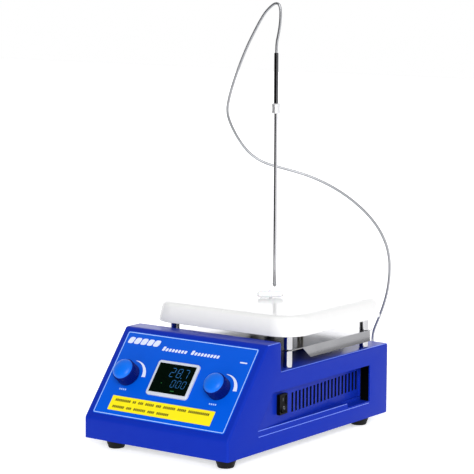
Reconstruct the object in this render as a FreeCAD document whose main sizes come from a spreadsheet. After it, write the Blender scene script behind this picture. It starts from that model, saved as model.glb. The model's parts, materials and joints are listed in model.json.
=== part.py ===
"""Hotplate magnetic stirrer: a sheet-steel housing with a sloping control panel, a square white heating
plate on four standoffs, a motor that turns a pair of magnets under the plate, and a temperature probe on
a stiff armoured lead.

Lengths are millimetres.  The sub-parts are drawn about the middle of the housing's front face, with z = 0
where the feet stand, and each is then placed so that the origin is the bottom centre of the whole object.
"""

import FreeCAD, Part
import math
import os
import re

import Sketcher

# ---------------------------------------------------------------- driving dimensions

SIZES = {
    # housing
    "width": 188.0,
    "depth": 301.0,
    "front_height": 22.5,
    "ridge_height": 109.6,
    "ridge_start": 68.9,
    "ridge_end": 93.6,
    "deck_height": 78.4,
    "wall": 1.6,
    "edge_round": 3.0,
    # side recesses, which are the hand grips
    "recess_front": 53.0,
    "recess_slant": 28.0,
    "recess_rear": 264.0,
    "recess_low": 19.0,
    "recess_high": 59.6,
    "recess_depth": 14.2,
    "grip_edge": 1.4,
    "vent_count": 19,
    "vent_first": 121.5,
    "vent_pitch": 7.6,
    "vent_width": 3.4,
    "vent_low": 30.5,
    "vent_length": 20.9,
    # feet and base
    "foot_height": 8.5,
    "foot_top": 11.0,
    "foot_base": 8.6,
    "foot_spacing": 143.0,
    "foot_front": 13.0,
    "foot_rear": 261.0,
    "base_thickness": 1.6,
    "base_gap": 0.3,
    "screw": 1.5,
    "screw_head": 3.0,
    "screw_gap": 0.15,
    "tab": 14.0,
    "tab_inset": 8.5,
    "tab_sheet": 2.0,
    # heating plate and what hangs from it
    "module_x": 10.4,
    "module_y": 190.6,
    "plate_size": 190.0,
    "plate_bottom": 113.2,
    "plate_height": 21.6,
    "plate_taper": 10.0,
    "plate_corner": 29.5,
    "plate_edge": 5.0,
    "plate_skin": 8.0,
    "plate_rim": 12.0,
    "element_gap": 7.0,
    "element_hole": 12.0,
    "element_height": 4.0,
    "pad_height": 6.0,
    "clamp_height": 1.5,
    "sensor": 2.5,
    # standoffs
    "post_inset_x": 20.4,
    "post_inset_y": 21.4,
    "upper_post": 5.1,
    "lower_post": 4.9,
    "stud": 2.5,
    "stud_gap": 0.05,
    "stud_into_plate": 9.0,
    "nut_flat": 4.0,
    "nut_height": 4.0,
    # reflector tray
    "tray_level": 96.4,
    "tray_sheet": 0.8,
    "tray_inset_x": 14.6,
    "tray_inset_y": 13.0,
    "lip_drop": 11.2,
    "lip_flare": 12.0,
    "lip_inset": 28.0,
    "lip_rear_inset": 5.0,
    "lip_rear_cut": 3.0,
    "tray_hole": 14.0,
    # control panel, measured up the slope from its lower edge
    "panel_width": 172.4,
    "panel_low": 6.0,
    "panel_length": 99.6,
    "panel_sheet": 0.5,
    "label_x": -1.6,
    "label_width": 134.0,
    "label_low": 12.2,
    "label_length": 16.8,
    "label_sheet": 0.25,
    "bezel_x": -1.8,
    "bezel_low": 36.3,
    "bezel_width": 53.4,
    "bezel_length": 40.2,
    "bezel_height": 3.2,
    "bezel_corner": 3.0,
    "window_x": -2.6,
    "window_low": 40.7,
    "window_width": 45.9,
    "window_length": 32.3,
    "window_sheet": 1.4,
    "module_depth": 11.0,
    "board_sheet": 1.6,
    "board_width": 150.0,
    "board_length": 66.0,
    "board_low": 22.0,
    "knob_x": 59.5,
    "knob_v": 54.0,
    "knob_skirt": 12.2,
    "knob_cap": 9.7,
    "knob_gap": 0.9,
    "knob_shoulder": 12.5,
    "knob_height": 18.6,
    "knob_round": 1.2,
    "knob_hollow": 8.4,
    "knob_hollow_depth": 4.6,
    "pot_half": 8.5,
    "pot_depth": 9.0,
    "bush": 3.5,
    "bush_height": 4.6,
    "pot_shaft": 2.0,
    "pot_shaft_gap": 0.05,
    "pot_nut": 5.5,
    "pot_nut_height": 2.0,
    # rocker switch, drawn about its pivot on the floor of the right-hand recess
    "switch_y": 96.6,
    "switch_z": 43.8,
    "switch_bezel_y": 15.2,
    "switch_bezel_z": 21.4,
    "switch_bezel": 3.6,
    "switch_body_y": 13.0,
    "switch_body_z": 19.2,
    "switch_depth": 16.0,
    "rocker_half_z": 8.2,
    "rocker_half_y": 5.3,
    "rocker_gap": 0.5,
    "rocker_tilt": 8.0,
    "rocker_pin": 1.0,
    "rocker_pin_gap": 0.06,
    # stirring motor
    "motor": 31.0,
    "motor_low": 22.0,
    "motor_height": 40.0,
    "motor_wall": 5.0,
    "motor_cavity": 24.0,
    "rotor": 22.0,
    "rotor_height": 26.0,
    "bearing": 8.0,
    "shaft": 3.0,
    "shaft_gap": 0.05,
    "bracket_sheet": 2.0,
    "bracket_x": 92.0,
    "bracket_y": 60.0,
    "bracket_screw_radius": 22.0,
    "holder": 26.0,
    "holder_height": 6.0,
    "holder_gap": 3.0,
    "magnet": 8.0,
    "magnet_height": 4.0,
    "magnet_offset": 15.0,
    "deck_hole": 9.0,
    # stirring bar
    "bar_length": 29.0,
    "bar_radius": 3.6,
    "bar_ring": 4.2,
    "bar_ring_length": 3.0,
    "bar_core": 2.2,
    "bar_core_length": 23.0,
    "bar_turn": 42.0,
    # rear connections
    "inlet_x": -48.0,
    "inlet_z": 46.0,
    "inlet_width": 30.0,
    "inlet_height": 38.0,
    "inlet_flange": 2.5,
    "inlet_body": 24.0,
    "socket_width": 24.4,
    "socket_height": 16.6,
    "socket_depth": 17.0,
    "socket_up": 7.4,
    "drawer_width": 20.0,
    "drawer_height": 8.0,
    "drawer_depth": 20.0,
    "drawer_down": 10.8,
    "drawer_gap": 0.4,
    "fuse": 2.5,
    "fuse_length": 15.0,
    "probe_x": 42.0,
    "probe_z": 58.5,
    "socket_barrel": 6.0,
    "socket_flange": 8.6,
    "socket_out": 9.0,
    "plug": 4.9,
    "plug_shell": 6.0,
    "plug_out": 25.5,
    "relief": 3.2,
    "relief_out": 30.0,
    "ring_gap": 0.06,
    "ring_wall": 1.9,
    "ring_start": 4.0,
    "ring_length": 13.0,
    # temperature probe
    "lead": 1.5,
    "probe_from_module_x": -9.2,
    "probe_from_module_y": 21.0,
    "probe_top": 409.2,
    "handle": 2.4,
    "handle_bottom": 354.3,
    "collar": 5.0,
    "collar_bottom": 343.3,
    "sheath": 2.0,
    "tip_above_plate": 9.0,
    # power electronics
    "power_x": -44.0,
    "power_y": 128.0,
    "power_width": 64.0,
    "power_length": 56.0,
    "power_level": 20.0,
    "spacer": 3.0,
    "core_width": 34.0,
    "core_height": 28.0,
    "sink_x": 44.0,
    "sink_y": 122.0,
    "sink_width": 52.0,
    "sink_length": 22.0,
    "sink_height": 34.0,
    "sink_fins": 6,
    "sink_fin": 1.8,
    "triac": 10.0,
    "heater_lead": 1.6,
    "heater_lead_x": 30.0,
    "heater_lead_y": 18.0,
    "grommet": 5.2,
}

# The probe lead's route in the object's own frame: out of the plug at the back, up, forwards over the
# plate, round the bend at the left and down into the probe's handle.
LEAD_ROUTE = [
    (36.3, 176.0, 58.5),
    (36.3, 188.0, 58.5),
    (35.0, 198.5, 68.0),
    (33.0, 200.0, 84.0),
    (44.0, 198.5, 106.0),
    (54.5, 196.5, 132.5),
    (60.4, 192.5, 160.8),
    (61.5, 186.5, 184.0),
    (57.0, 178.5, 204.5),
    (48.5, 168.5, 222.5),
    (38.0, 157.5, 237.2),
    (25.5, 145.5, 250.5),
    (10.5, 132.5, 262.0),
    (-6.5, 119.5, 271.0),
    (-25.5, 107.5, 277.2),
    (-46.0, 95.5, 283.0),
    (-60.0, 86.5, 293.0),
    (-69.7, 79.5, 307.5),
    (-77.5, 73.5, 325.5),
    (-81.0, 70.5, 340.0),
    (-77.5, 68.3, 353.5),
    (-69.0, 64.8, 372.0),
    (-58.0, 61.8, 393.0),
    (-46.3, 59.5, 414.0),
    (-33.0, 57.8, 434.5),
    (-21.3, 57.0, 451.3),
    (-12.0, 56.7, 459.6),
    (-5.2, 56.6, 463.2),
    (-0.4, 56.6, 461.0),
    (0.9, 56.6, 453.0),
    (0.3, 56.6, 441.0),
    (-1.8, 56.6, 429.5),
    (-4.5, 56.6, 419.0),
    (-4.5, 56.6, 409.2),
]

doc = FreeCAD.newDocument("magnetic_stirrer")
sheet = doc.addObject("Spreadsheet::Sheet", "sizes")
for row, (alias, size) in enumerate(SIZES.items(), start=1):
    sheet.set(f"A{row}", alias)
    sheet.set(f"B{row}", str(size))
    sheet.setAlias(f"B{row}", alias)
doc.recompute()

# Heights and places that follow from the driving dimensions.
UNDER = "foot_height"
FRONT_TOP = "(foot_height + front_height)"
RIDGE = "(foot_height + ridge_height)"
DECK = "(foot_height + deck_height)"
TRAY = "(foot_height + tray_level)"
TRAY_TOP = "(foot_height + tray_level + tray_sheet)"
PLATE = "(foot_height + plate_bottom)"
PLATE_TOP = "(foot_height + plate_bottom + plate_height)"
PLATE_ROOF = "(foot_height + plate_bottom + plate_height - plate_skin)"
BASE_TOP = "(foot_height + base_thickness)"
SLOPE = "atan((ridge_height - front_height) / ridge_start)"
POST_X = "(plate_size / 2 - post_inset_x)"
POST_Y = "(plate_size / 2 - post_inset_y)"
TRAY_X = "(plate_size / 2 - tray_inset_x)"
TRAY_Y = "(plate_size / 2 - tray_inset_y)"
PLATE_BORE = "(plate_size / 2 - plate_rim)"
ELEMENT = "(plate_size / 2 - plate_rim - element_gap)"
GROMMET_X = "(heater_lead_x - heater_lead - 0.5)"
RECESS_TILT = "atan(recess_depth / (recess_rear - recess_front))"
ORIGIN_X = "((module_x + plate_size / 2 - width / 2) / 2)"
ORIGIN_Y = "((depth + socket_out) / 2)"

ALIAS = re.compile(r"\b(" + "|".join(SIZES) + r")\b")
SUBPARTS = []


# ---------------------------------------------------------------- drawing helpers

def number(text):
    """The value of an expression in the sheet's aliases."""
    found = sheet.evalExpression(text)
    return float(getattr(found, "Value", found))


def bind(item, field, text):
    """Tie one property of an object to the sheet."""
    item.setExpression(field, ALIAS.sub(r"sizes.\1", text))


def placement(x="0", y="0", z="0", axis="1; 0; 0", angle="0"):
    return f"placement(vector({x}; {y}; {z}); rotation(vector({axis}); {angle}))"


ALONG = {"z": ("1; 0; 0", "0"), "x": ("0; 1; 0", "90"), "y": ("1; 0; 0", "-90")}
PANEL = placement("0", "0", FRONT_TOP, "1; 0; 0", SLOPE) + " * "
SWITCH_X = "(width / 2 - (switch_y - recess_front) * tan(" + RECESS_TILT + "))"
SWITCH = placement(SWITCH_X, "switch_y", "(foot_height + switch_z)", "0; 0; 1", RECESS_TILT) + " * "
MODULE = placement("module_x", "module_y", "0") + " * "


def box(x, y, z, low="0; 0; 0", frame="", middle="xy"):
    """A block of the given sizes; it is centred on its place along the axes named in middle."""
    block = doc.addObject("Part::Box", "block")
    start = [term.strip() for term in low.split(";")]
    for side, size, letter in (("Length", x, "x"), ("Width", y, "y"), ("Height", z, "z")):
        bind(block, side, size)
        if letter in middle:
            start["xyz".index(letter)] += f" - ({size}) / 2"
    bind(block, "Placement", frame + placement(*start))
    return block


def rod(radius, length, low="0; 0; 0", along="z", frame=""):
    """A cylinder that starts at its place and runs along one axis."""
    round_bar = doc.addObject("Part::Cylinder", "rod")
    bind(round_bar, "Radius", radius)
    bind(round_bar, "Height", length)
    bind(round_bar, "Placement", frame + placement(*low.split(";"), *ALONG[along]))
    return round_bar


def hexagon(flat, length, low="0; 0; 0", along="z", frame=""):
    """A nut's six-sided block, given half its width across flats."""
    prism = doc.addObject("Part::Prism", "hexagon")
    prism.Polygon = 6
    bind(prism, "Circumradius", f"({flat}) / cos(30)")
    bind(prism, "Height", length)
    bind(prism, "Placement", frame + placement(*low.split(";"), *ALONG[along]))
    return prism


def fuse(*pieces):
    joined = doc.addObject("Part::MultiFuse", "joined")
    joined.Shapes = list(pieces)
    return joined


def cut(base, *tools):
    result = doc.addObject("Part::Cut", "cut")
    result.Base = base
    result.Tool = tools[0] if len(tools) == 1 else fuse(*tools)
    return result


def common(*pieces):
    shared = doc.addObject("Part::MultiCommon", "shared")
    shared.Shapes = list(pieces)
    return shared


def mirrored(source):
    """The same piece on the other side of the housing's middle plane."""
    twin = doc.addObject("Part::Mirroring", "twin")
    twin.Source = source
    twin.Base = (0, 0, 0)
    twin.Normal = (1, 0, 0)
    return twin


def ring(outer, inner, length, low="0; 0; 0", along="z", frame=""):
    return cut(rod(outer, length, low, along, frame), rod(inner, length, low, along, frame))


def sketch(body, role, corners, offset="0"):
    """A closed outline of straight sides whose corners are tied to the sheet."""
    outline = body.newObject("Sketcher::SketchObject", "outline")
    plane = next(item for item in body.Origin.OriginFeatures if item.Role == role)
    outline.AttachmentSupport = [(plane, "")]
    outline.MapMode = "FlatFace"
    if offset != "0":
        bind(outline, "AttachmentOffset", placement("0", "0", offset))
    places = [(number(across), number(up)) for across, up in corners]
    count = len(corners)
    for index in range(count):
        start = FreeCAD.Vector(*places[index], 0)
        end = FreeCAD.Vector(*places[(index + 1) % count], 0)
        outline.addGeometry(Part.LineSegment(start, end), False)
    for index in range(count):
        outline.addConstraint(Sketcher.Constraint("Coincident", index, 2, (index + 1) % count, 1))
    for index, corner in enumerate(corners):
        for kind, axis, text, place in zip(("DistanceX", "DistanceY"), (-2, -1), corner, places[index]):
            if abs(place) < 1e-9:
                outline.addConstraint(Sketcher.Constraint("PointOnObject", index, 1, axis))
            else:
                rule = outline.addConstraint(Sketcher.Constraint(kind, -1, 1, index, 1, place))
                bind(outline, f"Constraints[{rule}]", text)
    return outline


def new_body():
    return doc.addObject("PartDesign::Body", "body")


def pad(body, profile, length, middle=False):
    feature = body.newObject("PartDesign::Pad", "pad")
    feature.Profile = profile
    feature.Midplane = middle
    bind(feature, "Length", length)
    return feature


def extruded(role, corners, length, middle=False, offset="0", frame=""):
    """A body made by one pad of one outline."""
    body = new_body()
    pad(body, sketch(body, role, corners, offset), length, middle)
    if frame:
        bind(body, "Placement", frame + placement())
    return body


def turned(corners, frame):
    """A body of revolution about its own z axis, from an outline of (radius, height) corners."""
    body = new_body()
    outline = sketch(body, "XZ_Plane", corners)
    feature = body.newObject("PartDesign::Revolution", "turning")
    feature.Profile = outline
    feature.ReferenceAxis = (outline, ["V_Axis"])
    feature.Angle = 360
    bind(body, "Placement", frame)
    return body


def rounded(body, radius, wanted):
    """Round the edges of a body's last feature that pass the test."""
    doc.recompute()
    base = body.Tip
    names = [f"Edge{index}" for index, edge in enumerate(base.Shape.Edges, start=1) if wanted(edge)]
    feature = body.newObject("PartDesign::Fillet", "rounding")
    feature.Base = (base, names)
    bind(feature, "Radius", radius)
    return feature


def direction(edge):
    along = edge.Vertexes[-1].Point - edge.Vertexes[0].Point
    return along.normalize() if along.Length > 1e-9 else FreeCAD.Vector()


def subpart(name, *pieces):
    """Name a finished sub-part and move it from the drawing's origin to the object's."""
    whole = pieces[0]
    if len(pieces) > 1 or whole.TypeId in ("Part::Box", "Part::Cylinder", "PartDesign::Body"):
        whole = doc.addObject("Part::Compound", "group")
        whole.Links = list(pieces)
    whole.Label = name
    bind(whole, "Placement", placement(f"-{ORIGIN_X}", f"-{ORIGIN_Y}", "0"))
    SUBPARTS.append(whole)
    return whole


def corners_of(half_x, half_y):
    """The four (x, y) corners of a rectangle about its centre, as expressions."""
    return [(f"{side} * ({half_x})", f"{end} * ({half_y})") for side in ("-1", "1") for end in ("-1", "1")]


POSTS = corners_of(POST_X, POST_Y)
FEET = [(f"module_x + {side} * foot_spacing / 2", y) for side in ("-1", "1") for y in ("foot_front", "foot_rear")]
TAB_PLACES = [(side, y) for side in ("-1", "1") for y in ("depth * 0.13", "depth / 2", "depth * 0.92")]
TABS = [(f"{side} * (width / 2 - wall - tab_inset)", y) for side, y in TAB_PLACES]


# ---------------------------------------------------------------- housing

def side_outline(inset):
    """The housing's side view, drawn in from its outer faces by a wall."""
    thick = f"({inset}) * wall"
    slope_step = f"({thick} * tan(({SLOPE}) / 2))"
    return [
        (thick, UNDER),
        (thick, f"{FRONT_TOP} - {slope_step}"),
        (f"ridge_start + {slope_step}", f"{RIDGE} - {thick}"),
        (f"ridge_end - {thick}", f"{RIDGE} - {thick}"),
        (f"ridge_end - {thick}", f"{DECK} - {thick}"),
        (f"depth - {thick}", f"{DECK} - {thick}"),
        (f"depth - {thick}", UNDER),
    ]


def grip(inset):
    """The space of the right-hand recess, grown on every side by a wall when inset is 1."""
    grow = f"({inset}) * wall"
    low = f"(foot_height + recess_low - {grow})"
    high = f"(foot_height + recess_high + {grow})"
    outline = [
        (f"recess_front - {grow}", low),
        (f"recess_rear + {grow}", low),
        (f"recess_rear + {grow}", high),
        (f"recess_front + recess_slant - {grow}", high),
    ]
    region = extruded("YZ_Plane", outline, "60", offset="width / 2 - 30")
    tilted = placement("width / 2", "recess_front", "0", "0; 0; 1", RECESS_TILT) + " * "
    outside = box("60", "600", "300", f"-{grow}; 0; 0", tilted, middle="y")
    return common(region, outside)


def panel_rod(radius, x, up, low, length):
    return rod(radius, length, f"{x}; {up}; {low}", "z", PANEL)


def panel_box(x_size, y_size, z_size, x, low_edge, w):
    return box(x_size, y_size, z_size, f"{x}; {low_edge}; {w}", PANEL, middle="x")


def upper_housing():
    outer = new_body()
    pad(outer, sketch(outer, "YZ_Plane", side_outline("0")), "width", middle=True)
    half = number("width") / 2
    bottom = number(UNDER)
    deepest = number("depth")

    def outside_edge(edge):
        middle = edge.CenterOfMass
        along = direction(edge)
        on_side = abs(abs(middle.x) - half) < 0.01 and middle.z > bottom + 0.01
        upright = abs(along.z) > 0.99 and middle.y > deepest - 0.01
        at_rear_top = abs(along.x) > 0.99 and middle.y > deepest - 0.01 and middle.z > bottom + 1
        return (on_side and not upright) or at_rear_top

    rounded(outer, "edge_round", outside_edge)
    inner = extruded("YZ_Plane", side_outline("1"), "width - 2 * wall", middle=True)
    bosses = grip("1")
    hollow = cut(inner, bosses, mirrored(bosses))
    recess = grip("0")
    vents = fuse(*[
        box("80", "vent_width", "vent_length",
            f"width / 2 - 40; vent_first + {index} * vent_pitch; foot_height + vent_low", middle="y")
        for index in range(int(SIZES["vent_count"]))
    ])
    grip_hole = box("recess_depth - grip_edge - wall", "4 * wall", "recess_high - recess_low - 2 * grip_edge",
                    "width / 2 - recess_depth + grip_edge; recess_rear - wall; foot_height + recess_low + grip_edge",
                    middle="")
    panel_holes = [panel_rod("bush + screw_gap", f"{side} * knob_x", "knob_v", "-8", "16") for side in ("-1", "1")]
    panel_holes.append(panel_box("window_width - 2", "window_length - 2", "16", "window_x", "window_low + 1", "-8"))
    deck_holes = [rod("stud + screw_gap", "4 * wall", f"{x}; {y}; {DECK} - 2 * wall", "z", MODULE) for x, y in POSTS]
    deck_holes.append(rod("deck_hole", "4 * wall", f"0; 0; {DECK} - 2 * wall", "z", MODULE))
    deck_holes.append(rod("grommet - 1", "4 * wall", f"{GROMMET_X}; heater_lead_y; {DECK} - 2 * wall", "z", MODULE))
    rear_holes = [
        box("inlet_width - 4", "8 * wall", "inlet_height - 4", "inlet_x; depth; inlet_z", middle="xyz"),
        rod("socket_barrel + screw_gap", "8 * wall", "probe_x; depth - 4 * wall; probe_z", "y"),
    ]
    switch_hole = box("40", "switch_body_y + 0.4", "switch_body_z + 0.4", "0; 0; 0", SWITCH, middle="xyz")
    shell = cut(outer, hollow, recess, mirrored(recess), vents, mirrored(vents), grip_hole, mirrored(grip_hole),
                *panel_holes, *deck_holes, *rear_holes, switch_hole)
    ears = []
    for side, y in TAB_PLACES:
        middle = f"{side} * (width / 2 - wall - tab_inset)"
        ear = box("tab", "tab", "tab_sheet", f"{middle}; {y}; {BASE_TOP} + base_gap")
        tongue = box("tab_inset", "tab", "tab_sheet",
                     f"{side} * (width / 2 - wall / 2 - tab_inset / 2); {y}; {BASE_TOP} + base_gap")
        ears.append(cut(fuse(ear, tongue), rod("screw + stud_gap", "4 * tab_sheet", f"{middle}; {y}; {UNDER}")))
    subpart("upper_housing", fuse(shell, *ears))


def base_plate():
    sheet_metal = box("width - 2 * (wall + base_gap)", "depth - 2 * (wall + base_gap)", "base_thickness",
                      f"0; wall + base_gap; {UNDER}", middle="x")
    holes = [rod("screw + screw_gap", "8", f"{x}; {y}; {UNDER} - 2") for x, y in FEET + TABS]
    slots = [box("4", "36", "8", f"module_x + {index} * 12; module_y; {UNDER} - 2") for index in range(-3, 4)]
    spacers = [rod("spacer", f"power_level - {UNDER}", f"power_x + {x}; power_y + {y}; {UNDER}")
               for x, y in corners_of("power_width / 2 - 5", "power_length / 2 - 5")]
    subpart("base_plate", cut(fuse(sheet_metal, *spacers), *holes, *slots))


def feet():
    rubbers = []
    screws = []
    for x, y in FEET:
        cone = doc.addObject("Part::Cone", "foot")
        bind(cone, "Radius1", "foot_base")
        bind(cone, "Radius2", "foot_top")
        bind(cone, "Height", "foot_height")
        bind(cone, "Placement", placement(x, y, "0"))
        rubbers.append(cut(cone, rod("screw_head + 0.6", "foot_height / 2", f"{x}; {y}; 0"),
                           rod("screw + 0.05", "foot_height", f"{x}; {y}; 0")))
        screws.append(fuse(rod("screw_head", "1.8", f"{x}; {y}; foot_height / 2 - 1.8"),
                           rod("screw", "foot_height / 2 + base_thickness + 2", f"{x}; {y}; foot_height / 2")))
    subpart("rubber_feet", *rubbers)
    subpart("feet_screws", *screws)
    base_screws = [fuse(rod("screw_head", "1.6", f"{x}; {y}; {UNDER} - 1.6"),
                        rod("screw", "6", f"{x}; {y}; {UNDER}")) for x, y in TABS]
    subpart("base_screws", *base_screws)


# ---------------------------------------------------------------- control panel

def control_panel():
    knob_holes = [panel_rod("bush + screw_gap", f"{side} * knob_x", "knob_v", "-2", "6") for side in ("-1", "1")]
    window_hole = panel_box("window_width - 2", "window_length - 2", "6", "window_x", "window_low + 1", "-2")
    overlay = panel_box("panel_width", "panel_length", "panel_sheet", "0", "panel_low", "0")
    subpart("front_overlay", cut(overlay, *knob_holes, window_hole))
    subpart("caution_label", panel_box("label_width", "label_length", "label_sheet", "label_x", "label_low",
                                       "panel_sheet"))
    frame = new_body()
    outline = [(f"bezel_x + {sx} * bezel_width / 2", f"bezel_low + {sy} * bezel_length")
               for sx, sy in (("-1", "0"), ("1", "0"), ("1", "1"), ("-1", "1"))]
    pad(frame, sketch(frame, "XY_Plane", outline), "bezel_height")
    rounded(frame, "bezel_corner", lambda edge: abs(direction(edge).z) > 0.99)
    top = number("bezel_height")
    rounded(frame, "1", lambda edge: abs(edge.CenterOfMass.z - top) < 0.01)
    bind(frame, "Placement", PANEL + placement("0", "0", "panel_sheet"))
    opening = panel_box("window_width", "window_length", "12", "window_x", "window_low", "-2")
    subpart("display_bezel", cut(frame, opening))
    subpart("display_window", panel_box("window_width - 0.2", "window_length - 0.2", "window_sheet",
                                        "window_x", "window_low + 0.1", "panel_sheet"))
    digits = panel_box("window_width - 3", "window_length - 3", "module_depth", "window_x", "window_low + 1.5",
                       "-wall - module_depth")
    subpart("display_module", digits)
    board_depth = "-(wall + module_depth + board_sheet)"
    board = panel_box("board_width", "board_length", "board_sheet", "0", "board_low", board_depth)
    board_holes = [panel_rod("pot_shaft + 2", f"{side} * knob_x", "knob_v", f"{board_depth} - 2", "6")
                   for side in ("-1", "1")]
    subpart("control_board", cut(board, *board_holes))
    for name, side in (("heat", "-1"), ("stir", "1")):
        potentiometer(name, f"{side} * knob_x")
    nuts = [cut(hexagon("pot_nut", "pot_nut_height", f"{side} * knob_x; knob_v; panel_sheet", "z", PANEL),
                panel_rod("bush + 0.05", f"{side} * knob_x", "knob_v", "0", "6")) for side in ("-1", "1")]
    subpart("potentiometer_nuts", *nuts)


def potentiometer(name, x):
    case = box("2 * pot_half", "2 * pot_half", "pot_depth", f"{x}; knob_v; -wall - 0.2 - pot_depth", PANEL)
    bushing = panel_rod("bush", x, "knob_v", "-wall - 0.2", "wall + 0.2 + bush_height")
    bore = panel_rod("pot_shaft + pot_shaft_gap", x, "knob_v", "-wall - 6", "30")
    subpart(f"{name}_potentiometer", cut(fuse(case, bushing), bore))
    floor = "-wall - 5.9"
    shaft_end = "panel_sheet + knob_gap + knob_height - 5"
    subpart(f"{name}_shaft", panel_rod("pot_shaft", x, "knob_v", floor, f"{shaft_end} - ({floor})"))
    profile = [
        ("knob_hollow", "0"),
        ("knob_skirt", "0"),
        ("knob_skirt", "knob_shoulder - knob_round"),
        ("knob_skirt - knob_round", "knob_shoulder"),
        ("knob_cap + 0.3", "knob_shoulder"),
        ("knob_cap", "knob_height - knob_round"),
        ("knob_cap - knob_round", "knob_height"),
        ("0", "knob_height"),
        ("0", "knob_hollow_depth"),
        ("knob_hollow", "knob_hollow_depth"),
    ]
    knob = turned(profile, PANEL + placement(x, "knob_v", "panel_sheet + knob_gap"))
    bore = panel_rod("pot_shaft", x, "knob_v", "0", shaft_end)
    mark = box("1", "knob_cap - 2", "1.2", f"{x}; knob_v + 2; panel_sheet + knob_gap + knob_height - 0.6", PANEL,
               middle="x")
    subpart(f"{name}_knob", cut(knob, bore, mark))


# ---------------------------------------------------------------- rocker switch

def rocker_switch():
    bezel = box("switch_bezel", "switch_bezel_y", "switch_bezel_z", "0; 0; 0", SWITCH, middle="yz")
    case = box("switch_depth", "switch_body_y", "switch_body_z", "-switch_depth; 0; 0", SWITCH, middle="yz")
    well = box("switch_bezel + 7", "2 * (rocker_half_y + rocker_gap)", "2 * (rocker_half_z + 0.45 + rocker_gap / 2)",
               "-6; 0; 0", SWITCH, middle="yz")
    pins = rod("rocker_pin + rocker_pin_gap", "2 * rocker_half_y + 2.4", "0; -rocker_half_y - 1.2; 0", "y", SWITCH)
    subpart("switch_body", cut(fuse(bezel, case), well, pins))
    outline = [
        ("-2", "-rocker_half_z + 0.3"),
        ("switch_bezel + 0.3", "-rocker_half_z"),
        ("switch_bezel - 0.9", "0"),
        ("switch_bezel + 0.3", "rocker_half_z"),
        ("-2", "rocker_half_z - 0.3"),
        ("-4", "3"),
        ("-4", "-3"),
    ]
    tipped = SWITCH + placement("0", "0", "0", "0; 1; 0", "-rocker_tilt") + " * "
    key = extruded("XZ_Plane", outline, "2 * rocker_half_y", middle=True, frame=tipped)
    pin = rod("rocker_pin", "2 * rocker_half_y + 2", "0; -rocker_half_y - 1; 0", "y", tipped)
    subpart("switch_rocker", fuse(key, pin))


# ---------------------------------------------------------------- heating plate, tray and standoffs

def heating_plate():
    plate = new_body()
    half = "plate_size / 2"
    outline = [(f"-{half}", f"-{half}"), (half, f"-{half}"), (half, half), (f"-{half}", half)]
    block = pad(plate, sketch(plate, "XY_Plane", outline), "plate_height")
    bind(block, "TaperAngle", "-plate_taper")
    rounded(plate, "plate_corner", lambda edge: abs(direction(edge).z) > 0.8)
    top = number("plate_height")
    rounded(plate, "plate_edge", lambda edge: abs(edge.CenterOfMass.z - top) < 0.01)
    bind(plate, "Placement", MODULE + placement("0", "0", PLATE))
    recess = rod(PLATE_BORE, "plate_height - plate_skin + 5", f"0; 0; {PLATE} - 5", "z", MODULE)
    sockets = [rod("stud + stud_gap", "stud_into_plate + 5.5", f"{x}; {y}; {PLATE} - 5", "z", MODULE)
               for x, y in POSTS]
    subpart("heating_plate", cut(plate, recess, *sockets))
    element_low = f"{PLATE_ROOF} - element_height"
    subpart("heating_element", ring(ELEMENT, "element_hole", "element_height", f"0; 0; {element_low}", "z", MODULE))
    pad_low = f"{element_low} - pad_height"
    subpart("insulation_pad", ring(ELEMENT, "element_hole", "pad_height", f"0; 0; {pad_low}", "z", MODULE))
    clamp_low = f"{pad_low} - clamp_height"
    clamp = ring(ELEMENT, "element_hole", "clamp_height", f"0; 0; {clamp_low}", "z", MODULE)
    terminals = [rod("heater_lead + 0.05", "10", f"heater_lead_x + {step}; heater_lead_y; {clamp_low} - 4", "z", MODULE)
                 for step in ("0", "-2 * heater_lead - 1")]
    subpart("heater_clamp_plate", cut(clamp, *terminals))
    subpart("plate_sensor", rod("sensor", "element_height + pad_height", f"0; 0; {pad_low}", "z", MODULE))
    lead_low = f"({DECK} - 18)"
    leads = [rod("heater_lead", f"{clamp_low} - {lead_low}", f"heater_lead_x + {step}; heater_lead_y; {lead_low}",
                 "z", MODULE) for step in ("0", "-2 * heater_lead - 1")]
    subpart("heater_leads", *leads)


def reflector_tray():
    floor = box(f"2 * {TRAY_X}", f"2 * {TRAY_Y}", "tray_sheet", f"0; 0; {TRAY}", MODULE)
    lips = []
    short = ("lip_inset", "lip_drop")
    long = ("lip_rear_inset", "lip_rear_cut")
    for angle, reach, half, (before, before_cut), (after, after_cut) in (
        ("0", TRAY_X, TRAY_Y, short, long),
        ("90", TRAY_Y, TRAY_X, short, short),
        ("180", TRAY_X, TRAY_Y, long, short),
        ("270", TRAY_Y, TRAY_X, short, short),
    ):
        start = f"-({half} - {before})"
        end = f"({half} - {after})"
        outline = [(start, "tray_sheet / 2"), (end, "tray_sheet / 2"), (end, "0"),
                   (f"{end} - {after_cut}", "-lip_drop"), (f"{start} + {before_cut}", "-lip_drop"), (start, "0")]
        turn = placement("0", "0", TRAY, "0; 0; 1", angle) + " * "
        hang = placement(reach + " - tray_sheet", "0", "0", "0; 1; 0", "-lip_flare") + " * "
        lips.append(extruded("YZ_Plane", outline, "tray_sheet", frame=MODULE + turn + hang))
    holes = [rod("stud + screw_gap", "8", f"{x}; {y}; {TRAY} - 4", "z", MODULE) for x, y in POSTS]
    holes.append(rod("tray_hole", "8", f"0; 0; {TRAY} - 4", "z", MODULE))
    holes.append(rod("grommet", "8", f"{GROMMET_X}; heater_lead_y; {TRAY} - 4", "z", MODULE))
    subpart("reflector_tray", cut(fuse(floor, *lips), *holes))


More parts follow.
